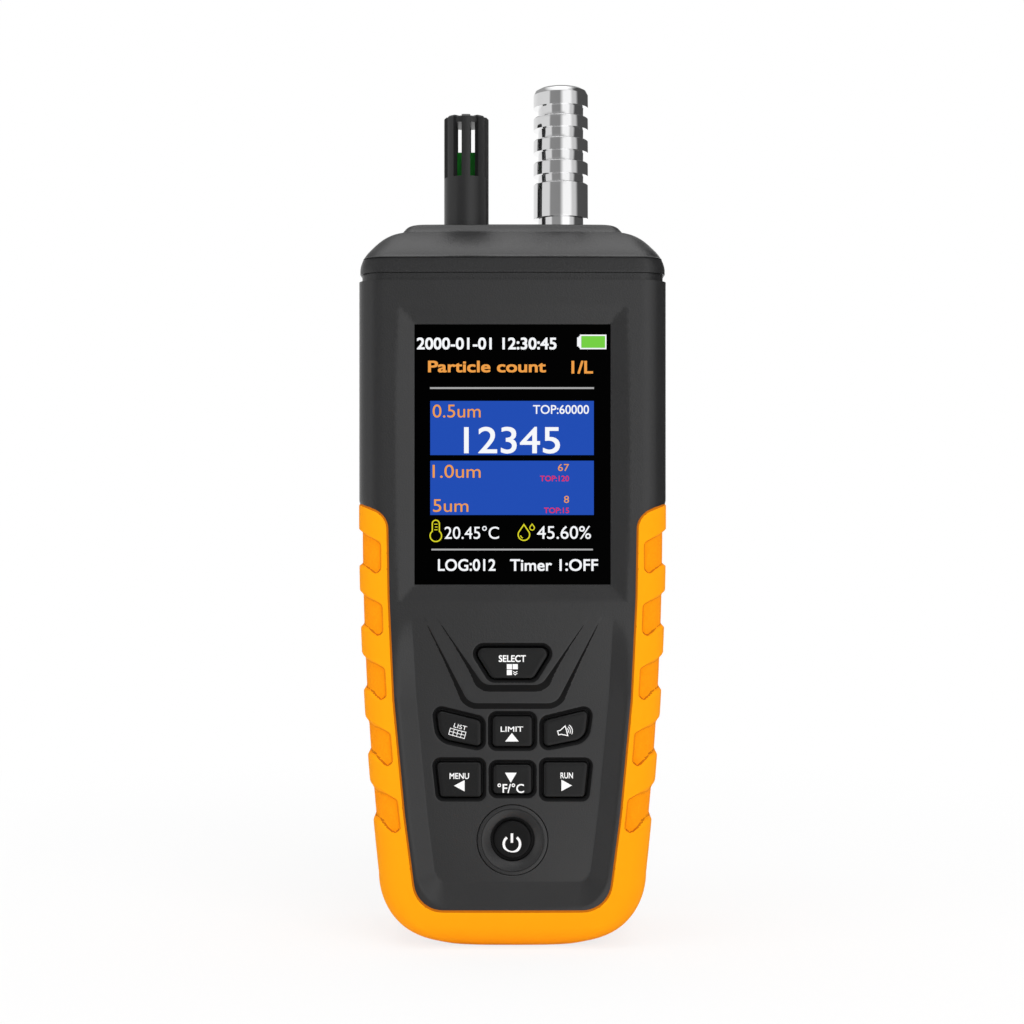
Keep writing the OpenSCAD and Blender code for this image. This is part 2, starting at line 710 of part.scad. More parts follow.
module humidity_sensor() color([0.85, 0.85, 0.87])
    block([-probe_x - 1, 1 - probe_x], [196, 199], [0.5, 1.3]);

// ---------- particle sensor and blower ----------

module sensor_body() color([0.5, 0.52, 0.54]) difference() {
    block([-4, 28], sensor_z, sensor_h);
    translate([nozzle_x, 0, 128]) cylinder(r = 3.4, h = 30);
    translate([-5, 0, 131.5]) rotate([0, 90, 0]) cylinder(r = 3.4, h = nozzle_x + 5);
    translate([20, 0, 127]) rotate([0, 90, 0]) cylinder(r = 3.5, h = 20);
}

module laser_module() color([0.78, 0.62, 0.3]) translate([20, 0, 127]) rotate([0, 90, 0])
    rotate_extrude() polygon([[0, 0], [3.5, 0], [3.5, 11], [4.2, 11], [4.2, 14], [0, 14]]);

module photodetector() color(green) {
    block([7, 18], [sensor_z[0] - 1.2, sensor_z[0]], [-5, 5]);
    block([10, 15], [sensor_z[0] - 2.6, sensor_z[0] - 1.2], [-2.5, 2.5]);
}

module blower_housing() color(black) difference() {
    block([-33, -4], sensor_z, sensor_h);
    post(blower_x, blower_z, 12.6, -7.5, 4.5);
    translate([-12, 0, blower_z]) rotate([0, 90, 0]) cylinder(r = 3.4, h = 10);
    block([-31, -22], [119, 126], [-10, -2]);
    post(blower_x, blower_z, 0.99, 4, 7);
}

module blower_rotor() color([0.3, 0.3, 0.32]) {
    blades = 9;
    hub_r = 4;
    post(blower_x, blower_z, 0.94, 4.1, 5.9);
    post(blower_x, blower_z, hub_r, -6.5, 4.1);
    post(blower_x, blower_z, rotor_r, 2.8, 4.1);
    translate([blower_x, 0, blower_z]) on_front() for (i = [0:blades - 1])
        rotate(360 * i / blades) translate([hub_r - 0.3, -0.4, -6]) cube([rotor_r - hub_r, 0.8, 9]);
}

// ---------- rubber boot ----------

// Pocket i of the grip, seen from the front on the right side; z is its top at the side,
// where it is as tall as edge, and it falls towards its inner end
module grip_pocket(i) {
    z = 102.5 - grip_pitch * i;
    fall = 1.75 + 0.1 * i;
    edge = 7.4 - 0.3 * i;
    x = [32.4, 32.1, 31.3, 30.1, 28.2][i];
    offset(r = 1.6) offset(delta = -1.6)
        polygon([[x, z - fall - 7.9], [50, z - edge + 4 + 0.27 * i * i], [50, z + 3.5], [x, z - fall]]);
}

module rubber_boot() color(orange) difference() {
    union() {
        difference() {
            case_form(0, boot_lip, band_z + 5);
            both_sides() slab(-beyond, beyond) for (i = [0:grip_count - 1]) grip_pocket(i);
        }
        case_form(grip_depth, boot_lip, band_z + 5);
    }
    case_form(boot_t, 0, band_z + 6);
    slab(0, beyond) bare_region();
    slab(-beyond, 0) bare_region(back_inset);
    usb_opening(-1, 4);
}

module usb_opening(z0, z1) {
    translate([0, usb_y, z0]) linear_extrude(z1 - z0)
        offset(r = 1.5) square([9, 3.2], center = true);
}

front_housing();
rear_housing();
top_cap();
rubber_boot();
housing_seal();
display_window();
display_gasket();
display_panel();
main_board();
board_screws();
key_web();
tact_switches();
select_key();
list_key();
up_key();
sound_key();
left_key();
down_key();
right_key();
power_key();
power_ring();
buzzer();
usb_socket();
inlet_nozzle();
nozzle_nut();
nozzle_seal();
inlet_tube();
probe_cage();
probe_seal();
probe_board();
humidity_sensor();
sensor_body();
laser_module();
photodetector();
blower_housing();
blower_rotor();
outlet_grille();
battery_pack();
battery_cover();
battery_cover_screws();
tripod_insert();
housing_screws();
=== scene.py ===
# Air quality monitor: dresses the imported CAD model. Lengths are in millimetres unless a name says otherwise.
import json
import math

import bmesh
import bpy
import numpy as np
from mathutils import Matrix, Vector
from mathutils.bvhtree import BVHTree
from mathutils.geometry import delaunay_2d_cdt

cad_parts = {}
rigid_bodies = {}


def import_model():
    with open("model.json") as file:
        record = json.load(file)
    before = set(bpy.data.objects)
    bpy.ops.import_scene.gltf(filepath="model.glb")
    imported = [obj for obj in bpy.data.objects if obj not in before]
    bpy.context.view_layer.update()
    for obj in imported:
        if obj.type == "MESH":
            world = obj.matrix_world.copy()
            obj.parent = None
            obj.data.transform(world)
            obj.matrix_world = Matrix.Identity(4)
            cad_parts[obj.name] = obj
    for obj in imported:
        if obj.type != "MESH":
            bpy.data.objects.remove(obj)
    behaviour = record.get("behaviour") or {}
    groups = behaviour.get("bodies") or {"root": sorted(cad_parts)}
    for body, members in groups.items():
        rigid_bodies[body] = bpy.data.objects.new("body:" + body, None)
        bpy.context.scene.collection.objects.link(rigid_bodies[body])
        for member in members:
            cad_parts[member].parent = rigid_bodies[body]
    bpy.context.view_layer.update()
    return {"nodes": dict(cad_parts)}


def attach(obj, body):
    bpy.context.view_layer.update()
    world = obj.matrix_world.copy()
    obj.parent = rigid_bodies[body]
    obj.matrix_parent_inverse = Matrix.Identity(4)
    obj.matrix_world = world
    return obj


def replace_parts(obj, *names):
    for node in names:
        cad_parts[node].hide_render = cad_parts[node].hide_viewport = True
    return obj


for o in list(bpy.data.objects):
    bpy.data.objects.remove(o)
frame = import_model()
nodes = frame["nodes"]
MM = 0.001
scene = bpy.context.scene
scene.view_settings.view_transform = "Standard"

# ------------ image points

W = H = 1024
POINTS = {
    "left_side": (358.5, 400.0),
    "right_side": (665.5, 400.0),
    "nozzle_top": (560.2, 85.7),
    "boot_bottom": (511.9, 943.5),
    "cage_top": (465.7, 114.2),
    "plateau_left": (407.0, 228.0),
    "bezel_top_left": (398.7, 306.0),
    "bezel_bottom_right": (625.0, 602.0),
    "screen_top_left": (413.3, 323.5),
    "screen_bottom_right": (610.5, 585.0),
    "screen_number": (512.0, 440.2),
    "boot_opening_bottom": (511.9, 910.4),
    "select_legend": (512.3, 665.2),
    "list_legend": (457.8, 731.0),
    "up_legend": (511.9, 734.0),
    "sound_legend": (564.9, 730.5),
    "left_legend": (459.3, 782.2),
    "down_legend": (510.8, 782.8),
    "right_legend": (566.7, 781.8),
    "power_legend": (511.9, 843.4),
}

# ------------ camera

CAMERA_X, CAMERA_DISTANCE, CAMERA_HEIGHT, LENS, SENSOR = -0.13, 447.0, 108.0, 60.8, 36.0
cam_data = bpy.data.cameras.new("camera")
cam_data.lens, cam_data.sensor_width, cam_data.sensor_fit = LENS, SENSOR, "AUTO"
cam_data.clip_start, cam_data.clip_end = 0.01, 50
cam = bpy.data.objects.new("camera", cam_data)
scene.collection.objects.link(cam)
cam.location = (CAMERA_X * MM, -CAMERA_DISTANCE * MM, CAMERA_HEIGHT * MM)
cam.rotation_euler = (math.radians(90), 0, 0)
scene.camera = cam
bpy.context.view_layer.update()
LONG = max(W, H)
FOCUS = LONG * LENS / SENSOR


def pixel_of(p):
    q = cam.matrix_world.inverted() @ Vector(p)
    return (W / 2 + FOCUS * q.x / -q.z - cam_data.shift_x * LONG,
            H / 2 - FOCUS * q.y / -q.z + cam_data.shift_y * LONG)


def tree_of(objs):
    verts, faces = [], []
    dg = bpy.context.evaluated_depsgraph_get()
    for o in objs:
        e = o.evaluated_get(dg)
        m = e.to_mesh()
        base = len(verts)
        verts += [e.matrix_world @ v.co for v in m.vertices]
        faces += [[base + i for i in p.vertices] for p in m.polygons]
        e.to_mesh_clear()
    return BVHTree.FromPolygons(verts, faces)


def place(point, carrier):
    """Where the ray through an image point meets a surface; a miss takes the place nearest the ray."""
    x, y = POINTS[point]
    d = Vector((x - W / 2 + cam_data.shift_x * LONG, H / 2 - y + cam_data.shift_y * LONG, -FOCUS))
    start, d = cam.matrix_world.translation.copy(), (cam.matrix_world.to_3x3() @ d).normalized()
    hit = carrier.ray_cast(start, d)[0]
    if hit is None:
        # Tried every 2 mm along the ray, over the object's depth and well past it
        near = (carrier.find_nearest(start + d * k * 2 * MM) for k in range(150, 300))
        hit = min(near, key=lambda found: found[3])[0]
    return hit


# ------------ materials


def node(tree, kind, inputs=(), **settings):
    """A node with its settings, and its inputs linked or set."""
    n = tree.nodes.new(kind)
    for k, v in settings.items():
        setattr(n, k, v)
    for k, v in dict(inputs).items():
        if isinstance(v, bpy.types.NodeSocket):
            tree.links.new(v, n.inputs[k])
        else:
            n.inputs[k].default_value = v
    return n


def between(tree, value, lo, hi):
    return node(tree, "ShaderNodeMapRange", {"Value": value, "To Min": lo, "To Max": hi}).outputs["Result"]


def scaled(tree, color, factor):
    return node(tree, "ShaderNodeVectorMath", {0: color, "Scale": factor}, operation="SCALE").outputs[0]


def plastic(name, color, rough, specular):
    """A new material with its tree, its shader and the place in the object's own axes."""
    m = bpy.data.materials.new(name)
    m.use_nodes = True
    shader = m.node_tree.nodes["Principled BSDF"]
    shader.inputs["Base Color"].default_value = (*color, 1)
    shader.inputs["Roughness"].default_value = rough
    shader.inputs["Specular IOR Level"].default_value = specular
    return m, m.node_tree, shader.inputs, node(m.node_tree, "ShaderNodeTexCoord").outputs["Object"]


def finish(name, color, rough, specular, metallic, grain, grain_mm, grain_mix, rough_mix, tone_mix,
           tone_mm=9.0):
    """A procedural finish: moulded grain in the bump, and small changes of tone and gloss."""
    m, t, shader, where = plastic(name, color, rough, specular)
    shader["Metallic"].default_value = metallic

    def noise(size_mm, detail):
        inputs = {"Vector": where, "Scale": 1000.0 / size_mm, "Detail": detail}
        return node(t, "ShaderNodeTexNoise", inputs).outputs["Fac"]

    fine, slow = noise(grain_mm, 3.0), noise(tone_mm, 4.0)
    if grain:
        bump = node(t, "ShaderNodeBump", {"Height": fine, "Strength": grain, "Distance": 0.00006})
        t.links.new(bump.outputs["Normal"], shader["Normal"])
    if rough_mix:
        t.links.new(between(t, slow, rough - rough_mix, rough + rough_mix), shader["Roughness"])
    if grain_mix or tone_mix:
        tone = between(t, slow, 1 - tone_mix - grain_mix, 1 + tone_mix - grain_mix)
        both = node(t, "ShaderNodeMath", {0: fine, 1: 2 * grain_mix, 2: tone}, operation="MULTIPLY_ADD")
        t.links.new(scaled(t, color, both.outputs["Value"]), shader["Base Color"])
    return m


def lit(name, r, g, b):
    """A glowing part of the display's picture, with the panel's own fine rows of dots."""
    m, t, shader, where = plastic(name, (0, 0, 0), 1.0, 0.0)
    rows = node(t, "ShaderNodeTexWave", {"Vector": where, "Scale": 3000.0}, bands_direction="Z")
    color = [c / 255 / 12.92 if c <= 10.3 else ((c / 255 + 0.055) / 1.055) ** 2.4 for c in (r, g, b)]
    t.links.new(scaled(t, color, between(t, rows.outputs["Fac"], 0.97, 1.0)), shader["Emission Color"])
    shader["Emission Strength"].default_value = 1.0
    return m


# Colour, roughness, specular, metallic, grain, its size and share in the tone, changes of gloss and of tone
FINISHES = {name: finish(name, *values) for name, values in {
    "case_plastic": ((0.019, 0.019, 0.0195), 0.30, 0.5, 0, 0.75, 0.42, 0, 0.03, 0.05),
    "cap_plastic": ((0.0165, 0.0165, 0.017), 0.30, 0.5, 0, 1.4, 0.42, 0, 0.03, 0.05),
    # Painted shade: a darker copy of the case's plastic, for the steps' walls and the key pockets
    "case_plastic_painted_shade": ((0.006, 0.006, 0.0062), 0.55, 0.12, 0, 0.3, 0.35, 0, 0, 0.05),
    "key_plastic": ((0.006, 0.006, 0.0062), 0.34, 0.33, 0, 0.25, 0.3, 0, 0.03, 0.05),
    "power_key_plastic": ((0.0035, 0.0035, 0.0037), 0.42, 0.2, 0, 0.25, 0.3, 0, 0.03, 0.05),
    "boot_rubber": ((0.97, 0.345, 0.003), 0.7, 0.08, 0, 0.2, 0.5, 0, 0.04, 0.015),
    "boot_rubber_grip": ((0.95, 0.295, 0.003), 0.8, 0.08, 0, 1.0, 0.5, 0.16, 0.04, 0),
    # Painted shade: darker copies of the rubber, one for the grip pockets' walls and a darker one for their
    # upward walls and the lip of the edge
    "boot_rubber_painted_wall_shade": ((0.80, 0.25, 0.003), 0.8, 0.08, 0, 0.7, 0.4, 0.10, 0.04, 0),
    "boot_rubber_painted_dark_shade": ((0.52, 0.14, 0.003), 0.75, 0.08, 0, 0.5, 0.4, 0.10, 0.04, 0),
    "window_black": ((0.0, 0.0, 0.0), 0.08, 0.02, 0, 0, 0.35, 0, 0.02, 0),
    "chrome": ((0.96, 0.96, 0.965), 0.06, 0.5, 1, 0, 0.35, 0, 0.015, 0.015, 3.0),
    "screw_steel": ((0.45, 0.45, 0.46), 0.32, 0.5, 1, 0.3, 0.2, 0, 0.06, 0),
    "brass": ((0.75, 0.53, 0.24), 0.3, 0.5, 1, 0.2, 0.25, 0, 0.06, 0),
    "board_green": ((0.003, 0.15, 0.010), 0.55, 0.2, 0, 0.5, 0.5, 0.2, 0, 0),
    "seal_rubber": ((0.02, 0.02, 0.021), 0.7, 0.5, 0, 0.3, 0.3, 0, 0.04, 0),
    "silicone": ((0.05, 0.05, 0.055), 0.6, 0.5, 0, 0.3, 0.3, 0, 0.04, 0),
    "cage_plastic": ((0.014, 0.014, 0.0143), 0.33, 0.5, 0, 0.35, 0.3, 0, 0.03, 0.05),
    "black_plastic": ((0.010, 0.010, 0.0105), 0.45, 0.5, 0, 0.35, 0.3, 0, 0.03, 0.05),
    "inner_grey": ((0.2, 0.21, 0.22), 0.5, 0.5, 0, 0.3, 0.3, 0, 0.05, 0),
    "battery_wrap": ((0.09, 0.16, 0.33), 0.4, 0.5, 0, 0.1, 0.5, 0, 0.05, 0),
    "legend_white": ((0.86, 0.86, 0.86), 0.6, 0.5, 0, 0.2, 0.15, 0.05, 0, 0),
}.items()}
NODE_FINISH = {
    "case_plastic": "front_housing rear_housing power_ring battery_cover", "cap_plastic": "top_cap",
    "boot_rubber": "rubber_boot", "window_black": "display_window", "chrome": "inlet_nozzle",
    "inner_grey": "display_panel humidity_sensor sensor_body", "battery_wrap": "battery_pack",
    "board_green": "main_board probe_board photodetector", "brass": "laser_module tripod_insert",
    "screw_steel": "board_screws housing_screws battery_cover_screws tact_switches usb_socket nozzle_nut",
    "seal_rubber": "nozzle_seal probe_seal housing_seal display_gasket", "silicone": "key_web inlet_tube",
    "cage_plastic": "probe_cage", "black_plastic": "buzzer outlet_grille blower_housing blower_rotor",
}


def smooth_by_angle(limit):
    """A modifier's nodes: the CAD faces share their corners and shade smoothly, except across sharp edges."""
    t = bpy.data.node_groups.new("smooth_by_angle", "GeometryNodeTree")
    for side in ("INPUT", "OUTPUT"):
        t.interface.new_socket("Geometry", in_out=side, socket_type="NodeSocketGeometry")
    angle = node(t, "GeometryNodeInputMeshEdgeAngle").outputs["Unsigned Angle"]
    soft = node(t, "ShaderNodeMath", {0: angle, 1: limit}, operation="LESS_THAN").outputs[0]
    merge = node(t, "GeometryNodeMergeByDistance", {"Distance": 2e-6})
    plain = node(t, "GeometryNodeRemoveAttribute", {"Name": "custom_normal"})
    faces = node(t, "GeometryNodeSetShadeSmooth")
    edges = node(t, "GeometryNodeSetShadeSmooth", {"Shade Smooth": soft}, domain="EDGE")
    chain = [node(t, "NodeGroupInput"), merge, plain, faces, edges, node(t, "NodeGroupOutput")]
    for a, b in zip(chain, chain[1:]):
        t.links.new(a.outputs[0], b.inputs[0])
    return t


SMOOTH = smooth_by_angle(math.radians(36))
finish_of = {name: finish_name for finish_name, names in NODE_FINISH.items() for name in names.split()}
for name, o in nodes.items():
    o.data.materials.clear()
    o.data.materials.append(FINISHES[finish_of.get(name, "key_plastic")])
    o.modifiers.new("smooth", "NODES").node_group = SMOOTH

# ------------ mesh helpers


def build(name, verts, faces, materials, body="case", slot=None, which=None, sharp=30, weld=1e-6):
    """A smooth-shaded mesh from millimetres, riding on a CAD body."""
    mesh = bpy.data.meshes.new(name)
    mesh.from_pydata([tuple(float(c) * MM for c in v) for v in verts], [], faces)
    for m in materials:
        mesh.materials.append(m)
    if which is not None:
        mesh.polygons.foreach_set("material_index", np.array(which, np.int32))
    if weld:
        b = bmesh.new()
        b.from_mesh(mesh)
        bmesh.ops.remove_doubles(b, verts=b.verts, dist=weld)
        b.to_mesh(mesh)
        b.free()
    mesh.validate()
    mesh.shade_smooth()
    mesh.set_sharp_from_angle(angle=math.radians(sharp))
    o = bpy.data.objects.new(name, mesh)
    scene.collection.objects.link(o)
    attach(o, body)
    return o


def rounded(corners, radii, grow=0.0, steps=8):
    """A convex counter-clockwise outline with a radius at each corner, grown outwards."""
    out = []
    for (p0, p, p1), r in zip(neighbours(corners), radii):
        e0, e1 = (p - p0) / np.linalg.norm(p - p0), (p1 - p) / np.linalg.norm(p1 - p)
        n0, n1 = np.array([e0[1], -e0[0]]), np.array([e1[1], -e1[0]])
        c = p - r * (n0 + n1) / (1 + n0 @ n1)
        a0, turn = math.atan2(n0[1], n0[0]), math.acos(max(-1, min(1, n0 @ n1)))
        k = steps if r + grow > 0.005 else 1
        for j in range(k + 1):
            a = a0 + turn * j / k
            out.append(c + (r + grow) * np.array([math.cos(a), math.sin(a)]))
    return np.array(out)


def neighbours(points):
    """Each point of a closed outline between the ones before and after it."""
    p = [np.array(q, float) for q in points]
    return zip(p[-1:] + p[:-1], p, p[1:] + p[:1])


def softmax(a, b, k):
    h = np.clip(0.5 + 0.5 * (a - b) / k, 0, 1)
    return b * (1 - h) + a * h + k * h * (1 - h)


def unit(v):
    return v / np.linalg.norm(v, axis=1)[:, None]


def share(x, width=1.0):
    return np.clip(x / width, 0, 1)


def smoothstep(u):
    return u * u * (3 - 2 * u)


def spans(line, closed):
    """The pairs of indices along a line."""
    n = len(line)
    return [(i, (i + 1) % n) for i in range(n if closed else n - 1)]


def triangulate(points, lines, keep):
    """Constrained Delaunay triangles of loose points and (line, closed) pairs; keep(x, z) says which stay."""
    verts, edges = [Vector(p) for p in points], []
    for line, closed in lines:
        base = len(verts)
        verts += [Vector(p) for p in line]
        edges += [(base + i, base + j) for i, j in spans(line, closed)]
    v, _, f, *_ = delaunay_2d_cdt(verts, edges, [], 0, 1e-7)
    v, f = np.array([tuple(p) for p in v]), np.array(f)
    c = v[f].mean(1)
    f = f[keep(*c.T)]
    a, b, c = v[f.T]
    area = (b[:, 0] - a[:, 0]) * (c[:, 1] - a[:, 1]) - (b[:, 1] - a[:, 1]) * (c[:, 0] - a[:, 0])
    f[area < 0] = f[area < 0][:, ::-1]
    return v, f[np.abs(area) > 1e-9]


def grid(x0, x1, z0, z1, step):
    """Points in staggered rows."""
    rows = []
    for k, z in enumerate(np.arange(z0 + step / 2, z1, step)):
        xs = np.arange(x0 + (step / 4 if k % 2 else step * 3 / 4), x1, step)
        rows.append(np.column_stack([xs, np.full(len(xs), z)]))
    return np.vstack(rows)


def dense(line, step, closed=False):
    """The same line with points no further apart than step."""
    out = []
    for i, j in spans(line, closed):
        a, b = np.array(line[i], float), np.array(line[j], float)
        k = max(1, int(math.ceil(np.linalg.norm(b - a) / step)))
        out += [a + (b - a) * q / k for q in range(k)]
    return np.array(out if closed else out + [np.array(line[-1], float)])


def inside_polygon(x, z, poly):
    odd = np.zeros(np.shape(x), bool)
    for i, j in spans(poly, True):
        (x0, z0), (x1, z1) = poly[i], poly[j]
        if z0 != z1:
            odd ^= ((z0 > z) != (z1 > z)) & (x < (x1 - x0) * (z - z0) / (z1 - z0) + x0)
    return odd


def line_distance(x, z, line, closed=True):
    """Distance to a line of points, and for a closed one negative inside."""
    near = np.full(np.shape(x), 1e9)
    for i, j in spans(line, closed):
        a, e = line[i], np.array(line[j]) - np.array(line[i])
        k = np.clip(((x - a[0]) * e[0] + (z - a[1]) * e[1]) / max(e @ e, 1e-12), 0, 1)
        near = np.minimum(near, np.hypot(x - a[0] - k * e[0], z - a[1] - k * e[1]))
    return np.where(inside_polygon(x, z, line), -near, near) if closed else near


def away(x, z, corners, radius):
    """Signed distance to a convex outline with corners of one radius: negative inside."""
    return line_distance(x, z, rounded(corners, [radius] * len(corners), -radius + 1e-4, 1)[::2]) - radius


def half_line(line):
    """The right half of a line that is symmetric about the middle, from its lower to its upper end."""
    left = line[:, 0] < 0
    line = np.roll(line, -int(np.argmax(np.roll(left, 1) & ~left)), axis=0)
    k = int(np.argmax(line[:, 0] < 0))
    crossings = (line[-1], line[0]), line[k - 1:k + 1]
    ends = [(0, a[1] + (b[1] - a[1]) * (-a[0]) / (b[0] - a[0])) for a, b in crossings]
    return np.vstack([ends[0], line[:k][line[:k, 0] > 0.02], ends[1]])


def spread(pts, fixed, gap):
    """The points at least gap from the fixed ones and from those kept before them."""
    taken, out = {}, []

    def cell(p):
        return int(p[0] // gap), int(p[1] // gap)

    for p in fixed:
        taken.setdefault(cell(p), []).append(p)
    for p in pts:
        i, j = cell(p)
        near = (q for a in (i - 1, i, i + 1) for b in (j - 1, j, j + 1) for q in taken.get((a, b), ()))
        if all((q[0] - p[0]) ** 2 + (q[1] - p[1]) ** 2 >= gap * gap for q in near):
            out.append(p)
            taken.setdefault((i, j), []).append(p)
    return np.array(out)


def filled(points, lines, border, from_middle, gap, keep=lambda x, z: True):
    """Triangles inside a border, from its lines and from loose points that keep clear of them."""
    points = points[(points[:, 0] > from_middle) & inside_polygon(*points.T, border)]
    points = spread(points, np.vstack([line for line, _ in lines]), gap)
    return triangulate(points, lines, lambda x, z: inside_polygon(x, z, border) & keep(x, z))


def mirrored_mesh(name, verts, faces, materials, slot, which, sharp):
    """A right half, counter-clockwise from the front, and its mirror image, welded along the middle."""
    verts = np.array(verts, float)
    verts[np.abs(verts[:, 0]) < 1e-4, 0] = 0
    faces = [tuple(int(i) for i in f) for f in faces]
    mirrored = [tuple(i + len(verts) for i in f[::-1]) for f in faces]
    both = np.vstack([verts, verts * np.array([-1, 1, 1])])
    return build(name, both, faces + mirrored, materials, slot=slot, which=which + which, sharp=sharp)


def filleted(points, radii, steps=10):
    """An open line with an arc of each radius in place of each inner point."""
    p = [np.array(q, float) for q in points]
    out = [p[0]]
    for p0, p1, p2, r in zip(p, p[1:], p[2:], radii):
        u, w = (p0 - p1) / np.linalg.norm(p0 - p1), (p2 - p1) / np.linalg.norm(p2 - p1)
        half = math.acos(max(-1, min(1, float(u @ w)))) / 2
        if math.pi / 2 - half < 0.02:
            out.append(p1)
            continue
        t = r / math.tan(half)
        c = p1 + (u + w) / np.linalg.norm(u + w) * r / math.sin(half)
        a, b = p1 + u * t - c, p1 + w * t - c
        a0, turn = math.atan2(a[1], a[0]), math.atan2(a[0] * b[1] - a[1] * b[0], a @ b)
        for ang in (a0 + turn * k / steps for k in range(steps + 1)):
            out.append(c + r * np.array([math.cos(ang), math.sin(ang)]))
    return np.array(out + [p[-1]])


# ------------ the case's form, as in part.scad

CASE_W, FACE, CROWN, FRONT_R, BACK_R = 38.4, 20.0, 0.6, 6.0, 9.0
CASE_H, PART_Y = 165.4, 2.0
CORNER_R, EDGE_R, WAIST_R, WAIST_Z = 18.0, 6.0, 800.0, 107.0
LIPS, GRIP = 0.7, 0.9
FLOOR_H, WINDOW_H, INSIDE_H, SEAT_H, STEP = 17.6, 18.7, 15.4, 16.0, 1.4
FLANGE_Y0, FLANGE_Y1 = 14.35, 15.35
PLATEAU_Z, PLATEAU_W, NOZZLE_X = 181.1, 28.1, 12.5
# The boot's opening and the dish inside it: heights, and the half width at each
OPENING_FOOT, DISH_SLOPE, DISH_R, DISH_FOOT = 9.7, 5.2, 2.2, 16.2
OPENING_Z, OPENING_X = [OPENING_FOOT, 33, 61.7, 86.3], [23.4, 26.45, 29.15, 30.3]
# Of the step and the tongue: outline, radius, foot, and the wall's slope at the foot and what the arms add
STEP_FOOT, STEP_RISE = 60.7, 22.7
STEP_WALL = ([(-10.8, 60.7), (10.8, 60.7), (21.3, 80.9), (38, 113), (-38, 113), (-21.3, 80.9)],
             3.5, STEP_FOOT, 0.66, 0.55)
TONGUE_WALL = ([(-7.1, 65.4), (7.1, 65.4), (18.8, 82.1), (37, 108), (-37, 108), (-18.8, 82.1)],
               3.2, 65.4, 0.74, 1.1)


def side_w(z):
    """Half the width above the foot's corners: a wide arc below the waist."""
    return CASE_W - (WAIST_R - np.sqrt(WAIST_R**2 - np.maximum(WAIST_Z - z, 0) ** 2))


CORNER_X = float(side_w(CORNER_R)) - CORNER_R


def half_w(z, t=0.0):
    """Half the width at a height, t below the surface."""
    low = CORNER_X + np.sqrt(np.maximum(0, (CORNER_R - t) ** 2 - (CORNER_R - z) ** 2))
    return np.where(z < CORNER_R, low, side_w(z) - t)


def half_d(z, t=0.0):
    """Half the depth at a height, t below the surface."""
    low = FACE - EDGE_R + np.sqrt(np.maximum(0, (EDGE_R - t) ** 2 - (EDGE_R - z) ** 2))
    return np.where(z < EDGE_R, low, FACE - t)


def stations(z, lip=0.0):
    """s at the ends of the front, its corner, the side and its corner, and in the middle of the back."""
    w, d = half_w(z), half_d(z) + lip
    a1 = (w - FRONT_R) + FRONT_R * math.pi / 2
    a2 = a1 + (2 * (d - CROWN) - FRONT_R - BACK_R)
    a3 = a2 + BACK_R * math.pi / 2
    return w - FRONT_R, a1, a2, a3, a3 + (w - BACK_R)


def around(s, z, t=0.0, lip=0.0):
    """A point of the form: s runs from the middle of the front, round the side, to the middle of the back."""
    s, z, t = np.broadcast_arrays(*(np.asarray(a, float) for a in (s, z, t)))
    front, a1, a2, a3, _ = stations(z, lip)
    w, flat = half_w(z, t), half_d(z, t) + lip - CROWN
    rf, rb = FRONT_R - t, BACK_R - t
    turn_f, turn_b = (s - front) / FRONT_R, (s - a2) / BACK_R
    k = (s - a1) / np.maximum(a2 - a1, 1e-6)
    zones = [s <= front, s <= a1, s <= a2, s <= a3]
    x = np.select(zones, [s, w - rf + rf * np.sin(turn_f), w, w - rb + rb * np.cos(turn_b)],
                  w - rb - (s - a3))
    y = np.select(zones, [-flat, rf - flat - rf * np.cos(turn_f), rf - flat + k * (2 * flat - rf - rb),
                          flat - rb + rb * np.sin(turn_b)], flat)
    return x, y + np.sign(y) * CROWN * (1 - (x / w) ** 2)


def s_of_x(x, z, back=False):
    """s on the boot's surface of the point that shows at x from the front, on the front or the back."""
    w, r = float(half_w(z)), BACK_R if back else FRONT_R
    x = min(x, w)
    s = x if x <= w - r else (w - r) + r * math.asin(min(1, (x - (w - r)) / r))
    return float(stations(z, LIPS)[4]) - s if back else s

# ------------ front housing

SOUND = [(6.6, 48.3), (19.1, 50.8), (20.3, 60.5), (6.6, 57.2)]
RIGHT = [(6.5, 36.1), (19.0, 36.1), (20.2, 47.1), (6.5, 47.1)]


def other(corners):
    return [(-corners[i][0], corners[i][1]) for i in (1, 0, 3, 2)]


BEVEL, GAP = 0.8, 0.3
POWER_Z, SEAT_R = 26.5, 8.88
# Each key's corners, their radii and its height
KEYS = {
    "select_key": ([(-5.8, 65.75), (5.8, 65.75), (12.0, 75.7), (-12.0, 75.7)], [2.9, 2.9, 2.7, 2.7],
                   FACE - 0.1),
    "up_key": ([(-6.15, 48.65), (6.15, 48.65), (6.15, 58.6), (-6.15, 58.6)], [2.2] * 4, FLOOR_H),
    "down_key": ([(-6.0, 36.9), (6.0, 36.9), (6.0, 46.5), (-6.0, 46.5)], [2.2] * 4, FLOOR_H),
    "list_key": (other(SOUND), [4.8, 2.3, 2.5, 2.3], FLOOR_H),
    "sound_key": (SOUND, [2.3, 4.8, 2.3, 2.5], FLOOR_H),
    "left_key": (other(RIGHT), [2.1] * 4, FLOOR_H),
    "right_key": (RIGHT, [2.1] * 4, FLOOR_H),
}
HALF_KEYS = [KEYS[key][:2] for key in ("select_key", "up_key", "down_key", "sound_key", "right_key")]
WIN_X, WIN_Z0, WIN_Z1 = 24.3, 90.0, 154.5
BEZEL_Z, BEZEL_MIDDLE = [85.8, 104.0, 122.0, 140.0, 158.8], 122.3
BEZEL_X = [28.0, 28.7, 28.9, 28.7, 28.0]
BEZEL_FIT = np.polyfit([z - BEZEL_MIDDLE for z in BEZEL_Z], BEZEL_X, 2)


def bezel_x(z):
    return np.polyval(BEZEL_FIT, z - BEZEL_MIDDLE)


def face_height(x, z):
    return FACE - CROWN + CROWN * (1 - (x / half_w(z)) ** 2)


